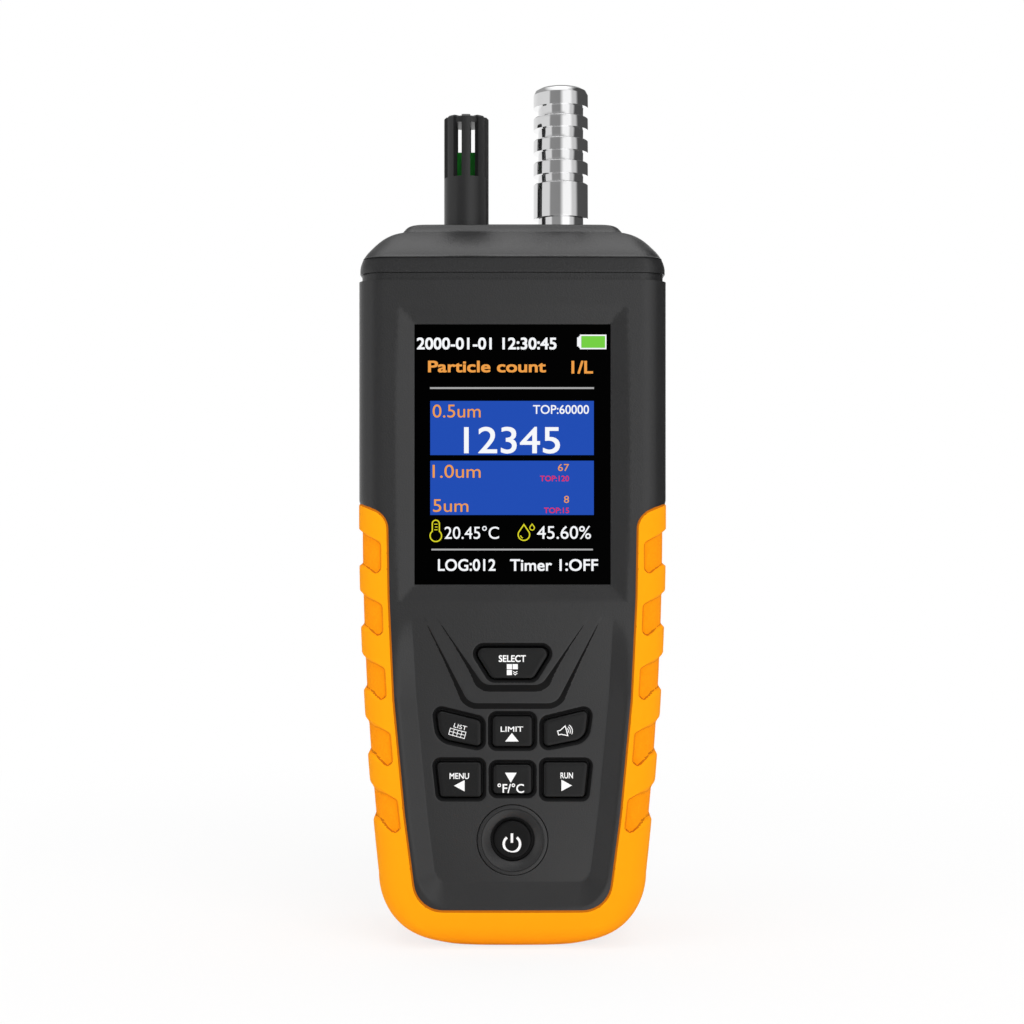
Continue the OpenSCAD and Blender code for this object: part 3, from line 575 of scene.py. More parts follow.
def dish_x(z):
    """Half the width of the dish's floor: a slope's width inside the boot's opening."""
    return np.interp(z, OPENING_Z, OPENING_X) - DISH_SLOPE


def chevrons(x, z):
    """For the step and the tongue: plane, distance outside it, and how steeply its wall falls there."""
    low = FACE - STEP * (1 - np.clip((z - STEP_FOOT) / STEP_RISE, 0, 2) ** 1.4)
    for plane, wall in ((np.minimum(low, 21), STEP_WALL), (FACE + 0.05 + 0 * x, TONGUE_WALL)):
        outline, radius, foot, slope, arms = wall
        yield plane, away(x, z, outline, radius), slope + arms * share(z - foot, 12)


def on_wall(x, z):
    """Whether a place lies on the sloping wall of the step or the tongue."""
    h = front_height(x, z)
    wall = np.zeros(np.shape(x), bool)
    for plane, d, slope in chevrons(x, z):
        wall |= (d > 0.1) & (d * slope > 0.04) & (np.abs(h - plane + d * slope) < 0.1) & (z < 80)
    return wall


def front_height(x, z):
    """Height of the front above the middle plane, with the dish, the steps and the bezel but no holes."""
    face = face_height(x, z)
    # The dish: a level floor that rises to the face at its top, with a slope of even width round it
    rise = FLOOR_H + (FACE - FLOOR_H) * softmax((z - STEP_FOOT) / STEP_RISE, 0 * z, 0.03) ** 1.5
    side = (np.abs(x) - dish_x(z)) + DISH_R
    foot = (DISH_FOOT - z) * DISH_SLOPE / (DISH_FOOT - OPENING_FOOT) + DISH_R
    d = np.hypot(np.maximum(side, 0), np.maximum(foot, 0)) + np.minimum(np.maximum(side, foot), 0) - DISH_R
    h = rise + (FACE + 0.05 - rise) * softmax(d / DISH_SLOPE, 0 * d, 0.012)
    # The step and the tongue round the select key, with walls that steepen up their arms
    for plane, d, slope in chevrons(x, z):
        h = softmax(h, plane - softmax(d, 0 * x, 0.1) * slope, 0.05)
    h = np.where(z > 84, face, 0.02 - softmax(-h, -face, 0.06))
    # The bezel's four walls
    t = share(np.minimum(np.minimum((bezel_x(z) - np.abs(x)) / (bezel_x(z) - WIN_X), (BEZEL_Z[-1] - z) / 4.3),
                         (z - BEZEL_Z[0]) / 4.2))
    return np.where(t > 0, face * (1 - t) + WINDOW_H * t, h)


def dish_outline(grow):
    """The crest between the dish's floor and its slope, moved out by grow, from the middle upwards."""
    foot = DISH_FOOT - grow * (DISH_FOOT - OPENING_FOOT) / DISH_SLOPE
    corners = [(0, foot)] + [(float(dish_x(z)) + grow, z) for z in (foot, 33, 61.7, 80)]
    return filleted(corners, [DISH_R + max(0, grow), 0.1, 0.1])


def front_shell():
    """The front with its dish, steps, bezel and key pockets, as far back as the parting line."""
    top, hair = CASE_H, 0.03
    hole, seat_hole = -BEVEL - 0.06, SEAT_R - hair
    s_end = CASE_W - FRONT_R + FRONT_R * math.pi / 2 + (FACE - CROWN - FRONT_R) + PART_Y
    border = [(0, 8.2), (25.2, 8.2), (29.9, 61), (31.3, 86.3), (31.7, 102), (33.5, 104.2), (s_end, 104.2),
              (s_end, top), (0, top)]
    # Lines that the mesh keeps: the key pockets' bevels first
    lines, points = [(dense(border, 0.9, True), True)], []
    for corners, radii in HALF_KEYS:
        for grow in (0.14, 0.0, -0.12, -0.66, -BEVEL + 0.04, -BEVEL - 0.02, hole):
            line = dense(rounded(corners, radii, grow), 0.9, True)
            middle_key = min(line[:, 0]) < 0
            lines.append((half_line(line), False) if middle_key else (line, True))
        points += [rounded(corners, radii, 0.5), rounded(corners, radii, 0.9, 6)]
    # The walls of the step and the tongue, where they clear the select key
    select = rounded(*HALF_KEYS[0], 0.3)
    for outline, radius, *_ in (STEP_WALL, TONGUE_WALL):
        for grow in (-0.08, 0.08, 0.22, 0.42, 0.62, 0.82, 1.05, 1.25, 1.45, 1.6, 1.75, 1.9):
            line = half_line(dense(rounded(outline, [radius] * 6, grow, 10), 0.5, True))
            line = line[line[:, 1] < 83.5]
            if not inside_polygon(*line.T, select).any():
                lines.append((line, False))
    # The power ring's seat
    turn = np.linspace(-math.pi / 2, math.pi / 2, 61)
    for r in (SEAT_R + 0.6, SEAT_R + 0.2, SEAT_R + 0.1, SEAT_R, seat_hole):
        lines.append((np.column_stack([np.maximum(0, r * np.cos(turn)), POWER_Z + r * np.sin(turn)]), False))
    # The bezel, the window and the dish's crest
    outer = [(float(bezel_x(z)), z) for z in np.linspace(BEZEL_Z[0], BEZEL_Z[-1], 60)]
    lines.append((dense([(0, BEZEL_Z[0])] + outer + [(0, BEZEL_Z[-1])], 1.0), False))
    for e in (0, hair):
        window = [(0, WIN_Z0 + e), (WIN_X - e, WIN_Z0 + e), (WIN_X - e, WIN_Z1 - e), (0, WIN_Z1 - e)]
        lines.append((dense(window, 1.0), False))
    for mitre in ([outer[0], (WIN_X, WIN_Z0)], [outer[-1], (WIN_X, WIN_Z1)]):
        lines.append((dense(mitre, 0.8), False))
    lines += [(dense(dish_outline(g), 0.6), False) for g in (-0.12, 0.0, 0.12, 0.3)]
    points += [grid(0, s_end, 7, top, 1.2), grid(0, 30, 8, 62, 0.55), grid(0, 26, 58, 84, 0.32)]

    def solid(x, z):
        k = np.hypot(x, z - POWER_Z) > seat_hole - 0.01
        for corners, radii in HALF_KEYS:
            k &= ~inside_polygon(x, z, rounded(corners, radii, hole))
        return k & ~((x < WIN_X - hair) & (z > WIN_Z0 + hair) & (z < WIN_Z1 - hair))

    v, f = filled(np.vstack(points), lines, border, 0.25, 0.13, solid)
    s, z = v.T
    # Under the boot's upper edge the shell's side steps in, clear of the rubber
    boot_edge = 107.2 + 0.396 * (around(s, z)[0] - 30.65)
    x, y = around(s, z, 0.3 * share(boot_edge - z, 0.3) * share(s - 33.5, 2))
    h = front_height(s, z)
    for corners, radii in HALF_KEYS:
        d = line_distance(s, z, rounded(corners, radii))
        h = np.where(d < 0.2, h - np.minimum(softmax(-d, 0 * d, 0.1), BEVEL), h)
        h = np.where(d < -BEVEL - 0.01, INSIDE_H, h)
    d = np.hypot(s, z - POWER_Z) - SEAT_R
    h = np.where((d < 0.15) & (d > -0.01), h - np.clip(0.1 - d, 0, 0.1), h)
    h = np.where(d <= -0.01, SEAT_H, h)
    in_window = (s < WIN_X - hair / 2) & (z > WIN_Z0 + hair / 2) & (z < WIN_Z1 - hair / 2)
    h = np.where(in_window, WINDOW_H - 1.0, h)
    verts = np.column_stack([x, np.where(s < CASE_W - FRONT_R - 3.2, -h, y), z])
    # The rim that the cap's neck stands on
    rim = np.where(z > top - 1e-6)[0]
    rim = rim[np.argsort(s[rim])]
    verts[rim, 2] = top - 0.12
    n, m = len(verts), len(rim)
    for inset in (0.12, 2.0):
        x, y = around(s[rim], top, inset)
        verts = np.vstack([verts, np.column_stack([x, y, 0 * x + top])])
    # Painted shade: the steps' walls and the key pockets get a darker copy of the case's plastic, with a
    # duller gloss
    c = verts[f].mean(1)
    painted_shade_faces = on_wall(c[:, 0], c[:, 2]) & (c[:, 1] < 0) & (c[:, 0] < 25)
    for corners, radii in HALF_KEYS:
        painted_shade_faces |= line_distance(c[:, 0], c[:, 2], rounded(corners, radii)) < -0.03
    faces = [tuple(q) for q in f]
    for i in range(m - 1):
        faces.append((rim[i], rim[i + 1], n + i + 1, n + i))
        faces.append((n + i, n + i + 1, n + m + i + 1, n + m + i))
    which = painted_shade_faces.astype(int).tolist() + [0] * (2 * (m - 1))
    materials = [FINISHES["case_plastic"], FINISHES["case_plastic_painted_shade"]]
    return mirrored_mesh("front_shell", verts, faces, materials, "case_plastic", which, 40)


shell = front_shell()
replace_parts(shell, "front_housing")

# ------------ rubber boot

EDGE_STEPS = (0.08, 0.3, 0.55, 0.72, 0.95)
GRIP_X, GRIP_TALL = [32.35, 32.0, 31.35, 29.95, 28.25], [8.5, 8.6, 8.75, 9.05, 9.15]


def bare_line(inset):
    """The right edge of what the boot leaves bare, from the middle of its foot upwards."""
    side = [(x - inset, z) for x, z in zip(OPENING_X + [30.65], OPENING_Z + [107.3])]
    return filleted([(0, OPENING_FOOT)] + side + [(40, 111), (60, 113.3)], [7, 60, 60, 60, 5.2, 4])


def shifted(line, d):
    """An open line moved to its right by d."""
    e = unit(np.gradient(line, axis=0))
    return line + d * np.column_stack([e[:, 1], -e[:, 0]])


def up_to_side(line):
    """The part of a front-view line that lies on the form, with its end where it reaches the side."""
    w = half_w(line[:, 1])
    k = int(np.argmax(line[:, 0] >= w))
    p, q = line[k], line[k - 1]
    return np.vstack([line[:k], q + (p - q) * ((w[k] - q[0]) / (p[0] - q[0]))])


def grip_lines(i, grow=0.0):
    """Front-view corners and outline of a grip pocket on the right side."""
    x, z, lean, tall = GRIP_X[i], 100.5 - 15.15 * i - 0.18 * i * i, 0.24 * i, GRIP_TALL[i]
    beyond = 50
    corners = [(x - lean, z - tall), (beyond, z - tall + 0.42 * (beyond - x + lean)),
               (beyond, z + 0.55 * (beyond - x)), (x, z)]
    return corners, rounded(corners, [1.15, 0.06, 0.06, 1.0], grow)


def turned_out(x, z):
    """How far a place lies round the side, from 0 on the front to 1."""
    return share(x - (side_w(z) - 4.9), 3.5)


def grip_depth(x, z):
    """How deep the surface lies in the grip pockets at a front-view place."""
    depth = np.zeros(np.shape(x))
    out = smoothstep(turned_out(x, z))
    for i in range(len(GRIP_X)):
        corners, _ = grip_lines(i)
        c = [np.array(p) for p in corners]
        # Each wall's width counts near that wall: the lower, the upper and the inner one
        near = []
        for a, b in ((c[0], c[1]), (c[2], c[3]), (c[3], c[0])):
            e = (b - a) / np.linalg.norm(b - a)
            near.append(np.exp(-np.clip((z - a[1]) * e[0] - (x - a[0]) * e[1], 0, 20) / 0.3))
        widths = 0.34 + (0.4 + 0.3 * i) * out, 0.5 + (0.3 + 0.2 * i) * out, 0.55
        width = sum(a * b for a, b in zip(near, widths)) / (sum(near) + 1e-12)
        u = share(-away(x, z, corners, 1.6), width)
        depth = np.maximum(depth, GRIP * (smoothstep(u) + u) / 2)
    return depth


def on_boot(line, rear):
    """A front-view line as s and z on the boot."""
    return np.array([(s_of_x(p[0], p[1], rear), p[1]) for p in line])


def grip_loop(i, grow):
    """A grip pocket's outline on the boot, over the front, round the side and over the back."""
    line = grip_lines(i, grow)[1]
    line = np.roll(line, -int(np.argmin(line[:, 0])), axis=0)
    # From the inner edge outwards, along the foot and along the top
    low, high = (way[:int(np.argmax(way[:, 0] > 40)) + 1] for way in (line, line[::-1]))
    low, high = (up_to_side(dense(q, 0.7)) for q in (low, np.vstack([line[:1], high])))
    near = np.vstack([on_boot(high[::-1], False), on_boot(low[1:], False)])
    far = np.vstack([on_boot(low[::-1], True), on_boot(high[1:], True)])
    loop = np.vstack([near, dense([near[-1], far[0]], 0.8)[1:-1], far, dense([far[-1], near[0]], 0.8)[1:-1]])
    return np.array([p for j, p in enumerate(loop) if np.hypot(*(p - loop[j - 1])) > 0.02])


def boot():
    """The rubber from the edge of its opening, round the side to the bare back, and under the foot."""
    z0 = 8.0

    def mid_back(z):
        return float(stations(z, LIPS)[4])

    front, back = bare_line(0.0), bare_line(5.0)
    f_line, b_line = (on_boot(dense(up_to_side(q), 0.8), rear) for q, rear in ((front, False), (back, True)))
    top = dense([f_line[-1], b_line[-1]], 0.8)
    foot = dense([(0, z0), (mid_back(z0), z0)], 0.8)
    back_mid = [(mid_back(z), z) for z in np.linspace(z0, OPENING_FOOT, 4)]
    border = np.vstack([f_line, top[1:-1], b_line[::-1], back_mid[::-1][1:], foot[::-1][1:]])
    border = np.array([p for i, p in enumerate(border) if np.hypot(*(p - border[i - 1])) > 1e-6])
    lines = [(border, True)]
    for line, rear in ((front, False), (back, True)):
        for g in EDGE_STEPS:
            q = shifted(line, g)
            q[0] = (0, OPENING_FOOT - g)
            lines.append((on_boot(up_to_side(dense(q, 0.8)), rear), False))
    lines += [(top[1:-1] - np.array([0, g]), False) for g in EDGE_STEPS]
    for i in range(len(GRIP_X)):
        lines += [(grip_loop(i, g), True) for g in (0.12, 0.0, -0.12, -0.24, -0.38, -0.55, -0.8, -1.15, -1.6)]
    v, f = filled(grid(0, 115, z0, 111, 0.95), lines, border, 0.3, 0.2)

    def to_edge(s, x, y, z):
        """Distance to the rubber's edge, which runs straight along the side between its front-view lines."""
        d = np.where(y > 0, line_distance(x, z, back, False), line_distance(x, z, front, False))
        along = (s > f_line[-1][0]) & (s < b_line[-1][0])
        edge = np.interp(s, [f_line[-1][0], b_line[-1][0]], [f_line[-1][1], b_line[-1][1]])
        return np.where(along, edge - z, d)

    # The surface: grip pockets, and an edge that rounds off and ends inside the case
    s, z = v.T
    x, y = around(s, z, 0, LIPS)
    d = to_edge(s, x, y, z)
    edge = np.where(d < 0.04, LIPS + 0.45, (LIPS + 0.02) * (1 - share(d - 0.06, 0.62)) ** 1.3)
    x, y = around(s, z, np.maximum(grip_depth(x, z), edge), LIPS)
    verts = np.column_stack([x, y, z])
    # The pockets' floors, and painted shade: their lower walls, which face up, and the lip of the edge get the
    # darkest copy of the rubber, their other walls a darker one
    cs, cz = v[f].mean(1).T
    cx, cy = around(cs, cz, 0, LIPS)
    depth, p = grip_depth(cx, cz), verts[f]
    normal = np.cross(p[:, 1] - p[:, 0], p[:, 2] - p[:, 0])
    normal /= np.linalg.norm(normal, axis=1)[:, None] + 1e-12
    wall = (depth > (0.1 + 0.65 * turned_out(cx, cz)) * GRIP) & (depth < 0.97 * GRIP)
    which = np.select([wall & (normal[:, 2] > 0.3), wall, depth > 0.5 * GRIP, to_edge(cs, cx, cy, cz) < 0.6],
                      [2, 3, 1, 2], 0).tolist()
    # The foot: rings down to the ground, with the same stations round the form, and ends that curve up
    row = np.where(np.abs(z - z0) < 1e-6)[0]
    row = row[np.argsort(s[row])]
    s_row, m = s[row], len(row)
    faces = [tuple(int(k) for k in q) for q in f]
    levels = z0 * (1 - np.sin(np.linspace(0, math.pi / 2, 15)))[1:]
    levels[-1] = 0

    def lift(x):
        return 0.4 * share(x - 5, 13) ** 2

    for level in levels:
        x, y = around(np.interp(s_row, (0, *stations(z0, LIPS)), (0, *stations(level, LIPS))), level, 0, LIPS)
        lower = np.arange(len(verts), len(verts) + m)
        verts = np.vstack([verts, np.column_stack([x, y, level + lift(x) * (1 - level / z0)])])
        faces += [(row[i], lower[i], lower[i + 1], row[i + 1]) for i in range(m - 1)]
        row = lower
    # The sole, with the charging opening
    ring = [tuple(verts[i][:2]) for i in row]
    slot = half_line(rounded([(-6, -11.2), (6, -11.2), (6, -5.0), (-6, -5.0)], [1.5] * 4, 0, 6))
    hole = np.vstack([slot, -slot[::-1] * np.array([1, -1])])
    inner = grid(0.6, 16, -14.5, 14.5, 1.2)
    inner = spread(inner[inside_polygon(*inner.T, ring)], np.vstack([ring, slot]), 0.4)
    inner = inner[~inside_polygon(*inner.T, hole)]
    behind, ahead = ([(0.0, q) for q in np.linspace(a, b, k)[1:-1]]
                     for a, b, k in ((ring[-1][1], slot[-1][1], 12), (slot[0][1], ring[0][1], 4)))
    v, f = triangulate(inner, [(line, False) for line in (ring, slot, behind, ahead)],
                       lambda x, y: inside_polygon(x, y, ring) & ~inside_polygon(x, y, hole))
    n = len(verts)
    verts = np.vstack([verts, np.column_stack([v, lift(v[:, 0])])])
    faces += [(n + a, n + c, n + b) for a, b, c in f]
    n, m = len(verts), len(slot)
    for height in (0.0, 2.3):
        verts = np.vstack([verts, np.column_stack([slot, np.full(m, height)])])
    faces += [(n + i, n + m + i, n + m + i + 1, n + i + 1) for i in range(m - 1)]
    which += [0] * (len(faces) - len(which))
    materials = [FINISHES["boot_rubber" + part] for part in ("", "_grip", "_painted_dark_shade", "_painted_wall_shade")]
    return mirrored_mesh("boot", verts, faces, materials, "boot_rubber", which, 38)


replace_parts(boot(), "rubber_boot")

# ------------ keys


def loft(name, rings, material, sharp, body="case", slot="case_plastic", wrap=False, ends=True):
    """Rings of equal length joined into one skin. Counter-clockwise from above."""
    n = len(rings[0])
    faces = [(j * n + i, j * n + k, l * n + k, l * n + i)
             for j, l in spans(rings, wrap) for i, k in spans(rings[0], True)]
    if ends:
        faces += [tuple(range(n))[::-1], tuple((len(rings) - 1) * n + i for i in range(n))]
    return build(name, [p for r in rings for p in r], faces, [FINISHES[material]], body, slot, sharp=sharp)


def quarter(x, z, r, first):
    """A quarter round under the corner at x, z, from an angle up to its top."""
    turn = [math.radians(a) for a in range(first, 91, 15)]
    return [(x - r * (1 - math.cos(a)), z - r * (1 - math.sin(a))) for a in turn]


def inset_line(corners, radii, grow):
    """The outline grown or moved in; past its radii the corners come closer and stay a little round."""
    tightest = -min(radii) + 0.04
    base = rounded(corners, radii, max(grow, tightest), 7)
    if grow > tightest:
        return base
    d = base - np.mean(corners, axis=0)
    return np.mean(corners, axis=0) + d * (1 - (tightest - grow) / np.abs(d).max(0))


for key, (corners, radii, top) in KEYS.items():
    side = -BEVEL - GAP
    profile = [(-0.05, FLANGE_Y0), (-0.05, FLANGE_Y1 - 0.05), (side, FLANGE_Y1), (side, top - 0.75)]
    profile += quarter(side - 0.06, top - 0.04, 0.55, 15)
    profile += [(side - 0.9, top - 0.01), (side - 1.3, top - 0.02), (side - 1.9, top - 0.03)]
    rings = [[(x, -h, z - 0.1) for x, z in inset_line(corners, radii, grow)] for grow, h in profile]
    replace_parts(loft(key + "_cap", rings, "key_plastic", 50, key, "key_plastic"), key)


def turned(name, profile, at, material, sharp, upright=False, steps=128, **rest):
    """A profile of (radius, height) turned about an upright axis, or about the front's axis."""
    turn = [2 * math.pi * k / steps for k in range(steps)]
    rings = []
    for r, h in profile:
        ring = [(at[0] + r * math.cos(a), at[1] + r * math.sin(a)) for a in turn]
        rings.append([(x, y, h) if upright else (x, -h, y) for x, y in ring])
    return loft(name, rings, material, sharp, ends=False, **rest)


profile = [(0.01, FLANGE_Y0), (6.2, FLANGE_Y0), (6.2, FLANGE_Y1), (4.75, FLANGE_Y1)]
profile += quarter(4.75, 16.9, 0.6, 0) + [(3.4, 16.86), (2.0, 16.82), (0.01, 16.8)]
o = turned("power_key_cap", profile, (0, POWER_Z), "power_key_plastic", 30, body="power_key",
           slot="key_plastic")
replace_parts(o, "power_key")

profile = [(5.53, SEAT_H), (8.75, SEAT_H), (8.75, FLOOR_H - 0.18), (8.68, FLOOR_H - 0.04), (8.58, FLOOR_H),
           (7.92, FLOOR_H), (7.9, FLOOR_H - 0.35), (7.66, FLOOR_H - 0.35), (7.62, FLOOR_H - 0.04)]
profile += [(7.62 - 2.0 * k / 8, FLOOR_H - 0.04 - (FLOOR_H - 16.45) * (k / 8) ** 1.25) for k in range(1, 9)]
profile += [(5.53, 16.35)]
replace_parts(turned("power_ring_face", profile, (0, POWER_Z), "case_plastic", 35, wrap=True), "power_ring")

# ------------ top cap


def section(w, d, rf, rb, z):
    """The cap's outline at a height, with one radius at the front's corners and one at the back's."""
    flat, arc, face = d - CROWN, 10, 28
    out = []
    for sx, sy, r, a0 in ((1, 1, rb, 0), (-1, 1, rb, 90), (-1, -1, rf, 180), (1, -1, rf, 270)):
        for a in (math.radians(a0 + 90 * i / arc) for i in range(arc + 1)):
            out.append((sx * (w - r) + r * math.cos(a), sy * (flat - r) + r * math.sin(a)))
        if sx == sy:
            out += [(sy * (r - w) * (2 * i / face - 1), sy * flat) for i in range(1, face)]
    return [(x, y + math.copysign(CROWN, y) * (1 - (x / w) ** 2), z) for x, y in out]


def cap():
    band_top, front_top, shoulder, low = 171.2, 178.85, 178.8, 168.5
    wide, deep, pw, pd = CASE_W - 0.2, FACE - 0.5, PLATEAU_W, 9.95

    def w_at(z):
        return pw + (wide - pw) * (1 - ((z - low) / (shoulder - low)) ** 1.6) ** (1 / 1.6)

    def d_at(z):
        u = (z - band_top) / (front_top - band_top)
        return deep if u <= 0 else deep - 0.48 - (deep - 0.48 - pd) * (0.55 * u + 0.45 * u * u)

    # Height, half width and half depth of the neck in the case, the band, the shoulder and the plateau
    rings = [(165.42, CASE_W - 0.7, FACE - 0.7), (167.2, CASE_W - 0.7, FACE - 0.7),
             (167.3, CASE_W - 0.62, FACE - 0.9), (167.3, wide - 0.15, deep - 0.15),
             (167.36, wide - 0.04, deep - 0.04), (167.5, wide, deep)]
    band = np.linspace(168.0, band_top - 0.05, 10)
    rings += [(z, w_at(max(z, low)), deep - 0.13 * (z - 167.5)) for z in band]
    rise = band_top + (shoulder - band_top) * (1 - (1 - np.linspace(0, 1, 30)[:-1]) ** 1.4)
    rings += [(z, w_at(z), d_at(z)) for z in rise]
    rings += [(shoulder, pw, 9.98), (179.12, 27.84, 9.68), (179.5, 27.6, 9.3), (179.85, 27.3, 9.03),
              (180.15, 27.1, 8.83), (180.45, 26.75, 8.63), (180.7, 26.35, 8.45), (180.88, 25.9, 8.25),
              (181.0, 25.4, 8.0), (181.07, 24.8, 7.7)]
    rings += [(PLATEAU_Z, 24.2, 7.3), (PLATEAU_Z, 15, 4), (PLATEAU_Z, 7, 1)]
    out = []
    for z, w, d in rings:
        tight = smoothstep(share(z - 174, 4.8))
        rb = BACK_R if z < low else FRONT_R + (BACK_R - FRONT_R) * max(0, 1 - (z - low) / 3)
        most = d - CROWN - 0.3
        out.append(section(w, d, min(FRONT_R - (FRONT_R - 2.6) * tight, most), min(rb, most), z))
    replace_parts(loft("cap_shell", out, "cap_plastic", 32), "top_cap")


cap()

# ------------ air nozzle and probe cage


def softened(profile, r, steps=3):
    """A closed profile with each corner rounded by r."""
    out = []
    for p0, p, p1 in neighbours(profile):
        a, b = np.linalg.norm(p0 - p), np.linalg.norm(p1 - p)
        t = min(r, a * 0.35, b * 0.35)
        u, w = p + (p0 - p) / a * t, p + (p1 - p) / b * t
        for q in (k / steps for k in range(steps + 1)):
            out.append(tuple((1 - q) ** 2 * u + 2 * q * (1 - q) * p + q * q * w))
    return out


def nozzle():
    neck, barb, bore, top = 5.82, 7.05, 3.4, 217.0
    p = [(bore, 163), (4.2, 163), (4.4, 163.4), (4.4, 172), (5.1, 172), (5.1, PLATEAU_Z), (neck, PLATEAU_Z)]
    for z0, z1 in ((183.5, 192.45), (194.5, 197.95), (200.5, 203.75), (206.4, 209.55)):
        p += [(neck, z0), (barb, z0), (barb, z1 - 0.25), (barb - 0.25, z1), (neck, z1)]
    p += [(neck, 212.1), (barb, 212.1), (barb, top - 1.6), (barb - 0.45, top - 0.6), (barb - 1.5, top),
          (bore + 0.7, top), (bore, top - 0.7)]
    p = softened(p, 0.05)
    o = turned("nozzle_chrome", p, (NOZZLE_X, 0), "chrome", 50, True, 144, slot="chrome", wrap=True)
    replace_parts(o, "inlet_nozzle")


nozzle()
for name, width in (("probe_cage", 0.1), ("outlet_grille", 0.2)):
    b = nodes[name].modifiers.new("edges", "BEVEL")
    b.width, b.segments, b.limit_method = width * MM, 2, "ANGLE"
    b.angle_limit = math.radians(35)
    b.harden_normals = False

# ------------ prints and the display's picture


def letters(text, bold=0.0):
    """Outline points and faces of a line of text in Blender's own font, struck five times when bold."""
    c = bpy.data.curves.new("letters", "FONT")
    c.body, c.resolution_u = text, 5
    o = bpy.data.objects.new("letters", c)
    scene.collection.objects.link(o)
    bpy.context.view_layer.update()
    m = o.evaluated_get(bpy.context.evaluated_depsgraph_get()).to_mesh()
    pts = np.array([(v.co.x, v.co.y) for v in m.vertices])
    faces = [tuple(p.vertices) for p in m.polygons]
    bpy.data.objects.remove(o)
    bpy.data.curves.remove(c)
    strikes = [(0, 0)] + ([(bold, bold), (-bold, bold), (-bold, -bold), (bold, -bold)] if bold else [])
    return together([(pts + np.array(q), faces) for q in strikes])


def together(shapes):
    pts, faces, n = [], [], 0
    for p, f in shapes:
        pts.append(p)
        faces += [tuple(i + n for i in q) for q in f]
        n += len(p)
    return np.vstack(pts), faces


def fitted(shape, x0, z0, x1, z1):
    """A shape scaled to fill a rectangle."""
    pts, faces = shape
    lo, hi = pts.min(0), pts.max(0)
    return np.column_stack([x0 + (pts[:, 0] - lo[0]) / (hi[0] - lo[0]) * (x1 - x0),
                            z0 + (pts[:, 1] - lo[1]) / (hi[1] - lo[1]) * (z1 - z0)]), faces


def polygon(points):
    return np.array(points, float), [tuple(range(len(points)))]


def rectangle(x0, z0, x1, z1):
    return polygon([(x0, z0), (x1, z0), (x1, z1), (x0, z1)])


def stroke(line, width, closed=False):
    """A line of even width."""
    p = np.array(line, float)
    n = len(p)
    a, b = p - np.roll(p, 1, 0), np.roll(p, -1, 0) - p
    if not closed:
        a[0], b[-1] = b[0], a[-1]
    a, b = unit(a), unit(b)
    m = unit(np.column_stack([-(a + b)[:, 1], (a + b)[:, 0]]))
    m /= np.clip(m[:, 0] * -a[:, 1] + m[:, 1] * a[:, 0], 0.4, 1)[:, None]
    pts = np.vstack([p - m * width / 2, p + m * width / 2])
    return pts, [(i, j, n + j, n + i) for i, j in spans(p, closed)]


def arc(cx, cz, r, a0, a1, steps):
    return [(cx + r * math.cos(a), cz + r * math.sin(a)) for a in np.radians(np.linspace(a0, a1, steps + 1))]


def printed(name, shapes, material, height, body="case", at=(0, 0)):
    """Flat shapes laid at a height in front of the middle plane."""
    pts, faces = together(shapes)
    pts = pts + np.array(at)
    # Later shapes and strikes lie a hair above earlier ones, so that none share a plane
    lift, facing = np.zeros(len(pts)), []
    for k, f in enumerate(faces):
        lift[list(f)] = k / len(faces) * 0.008
        p = pts[list(f)]
        area = sum(p[i - 1][0] * p[i][1] - p[i][0] * p[i - 1][1] for i in range(len(p)))
        facing.append(f if area > 0 else f[::-1])
    pts = np.column_stack([pts[:, 0], -height - lift, pts[:, 1]])
    return build(name, pts, facing, [material], body=body, weld=0)


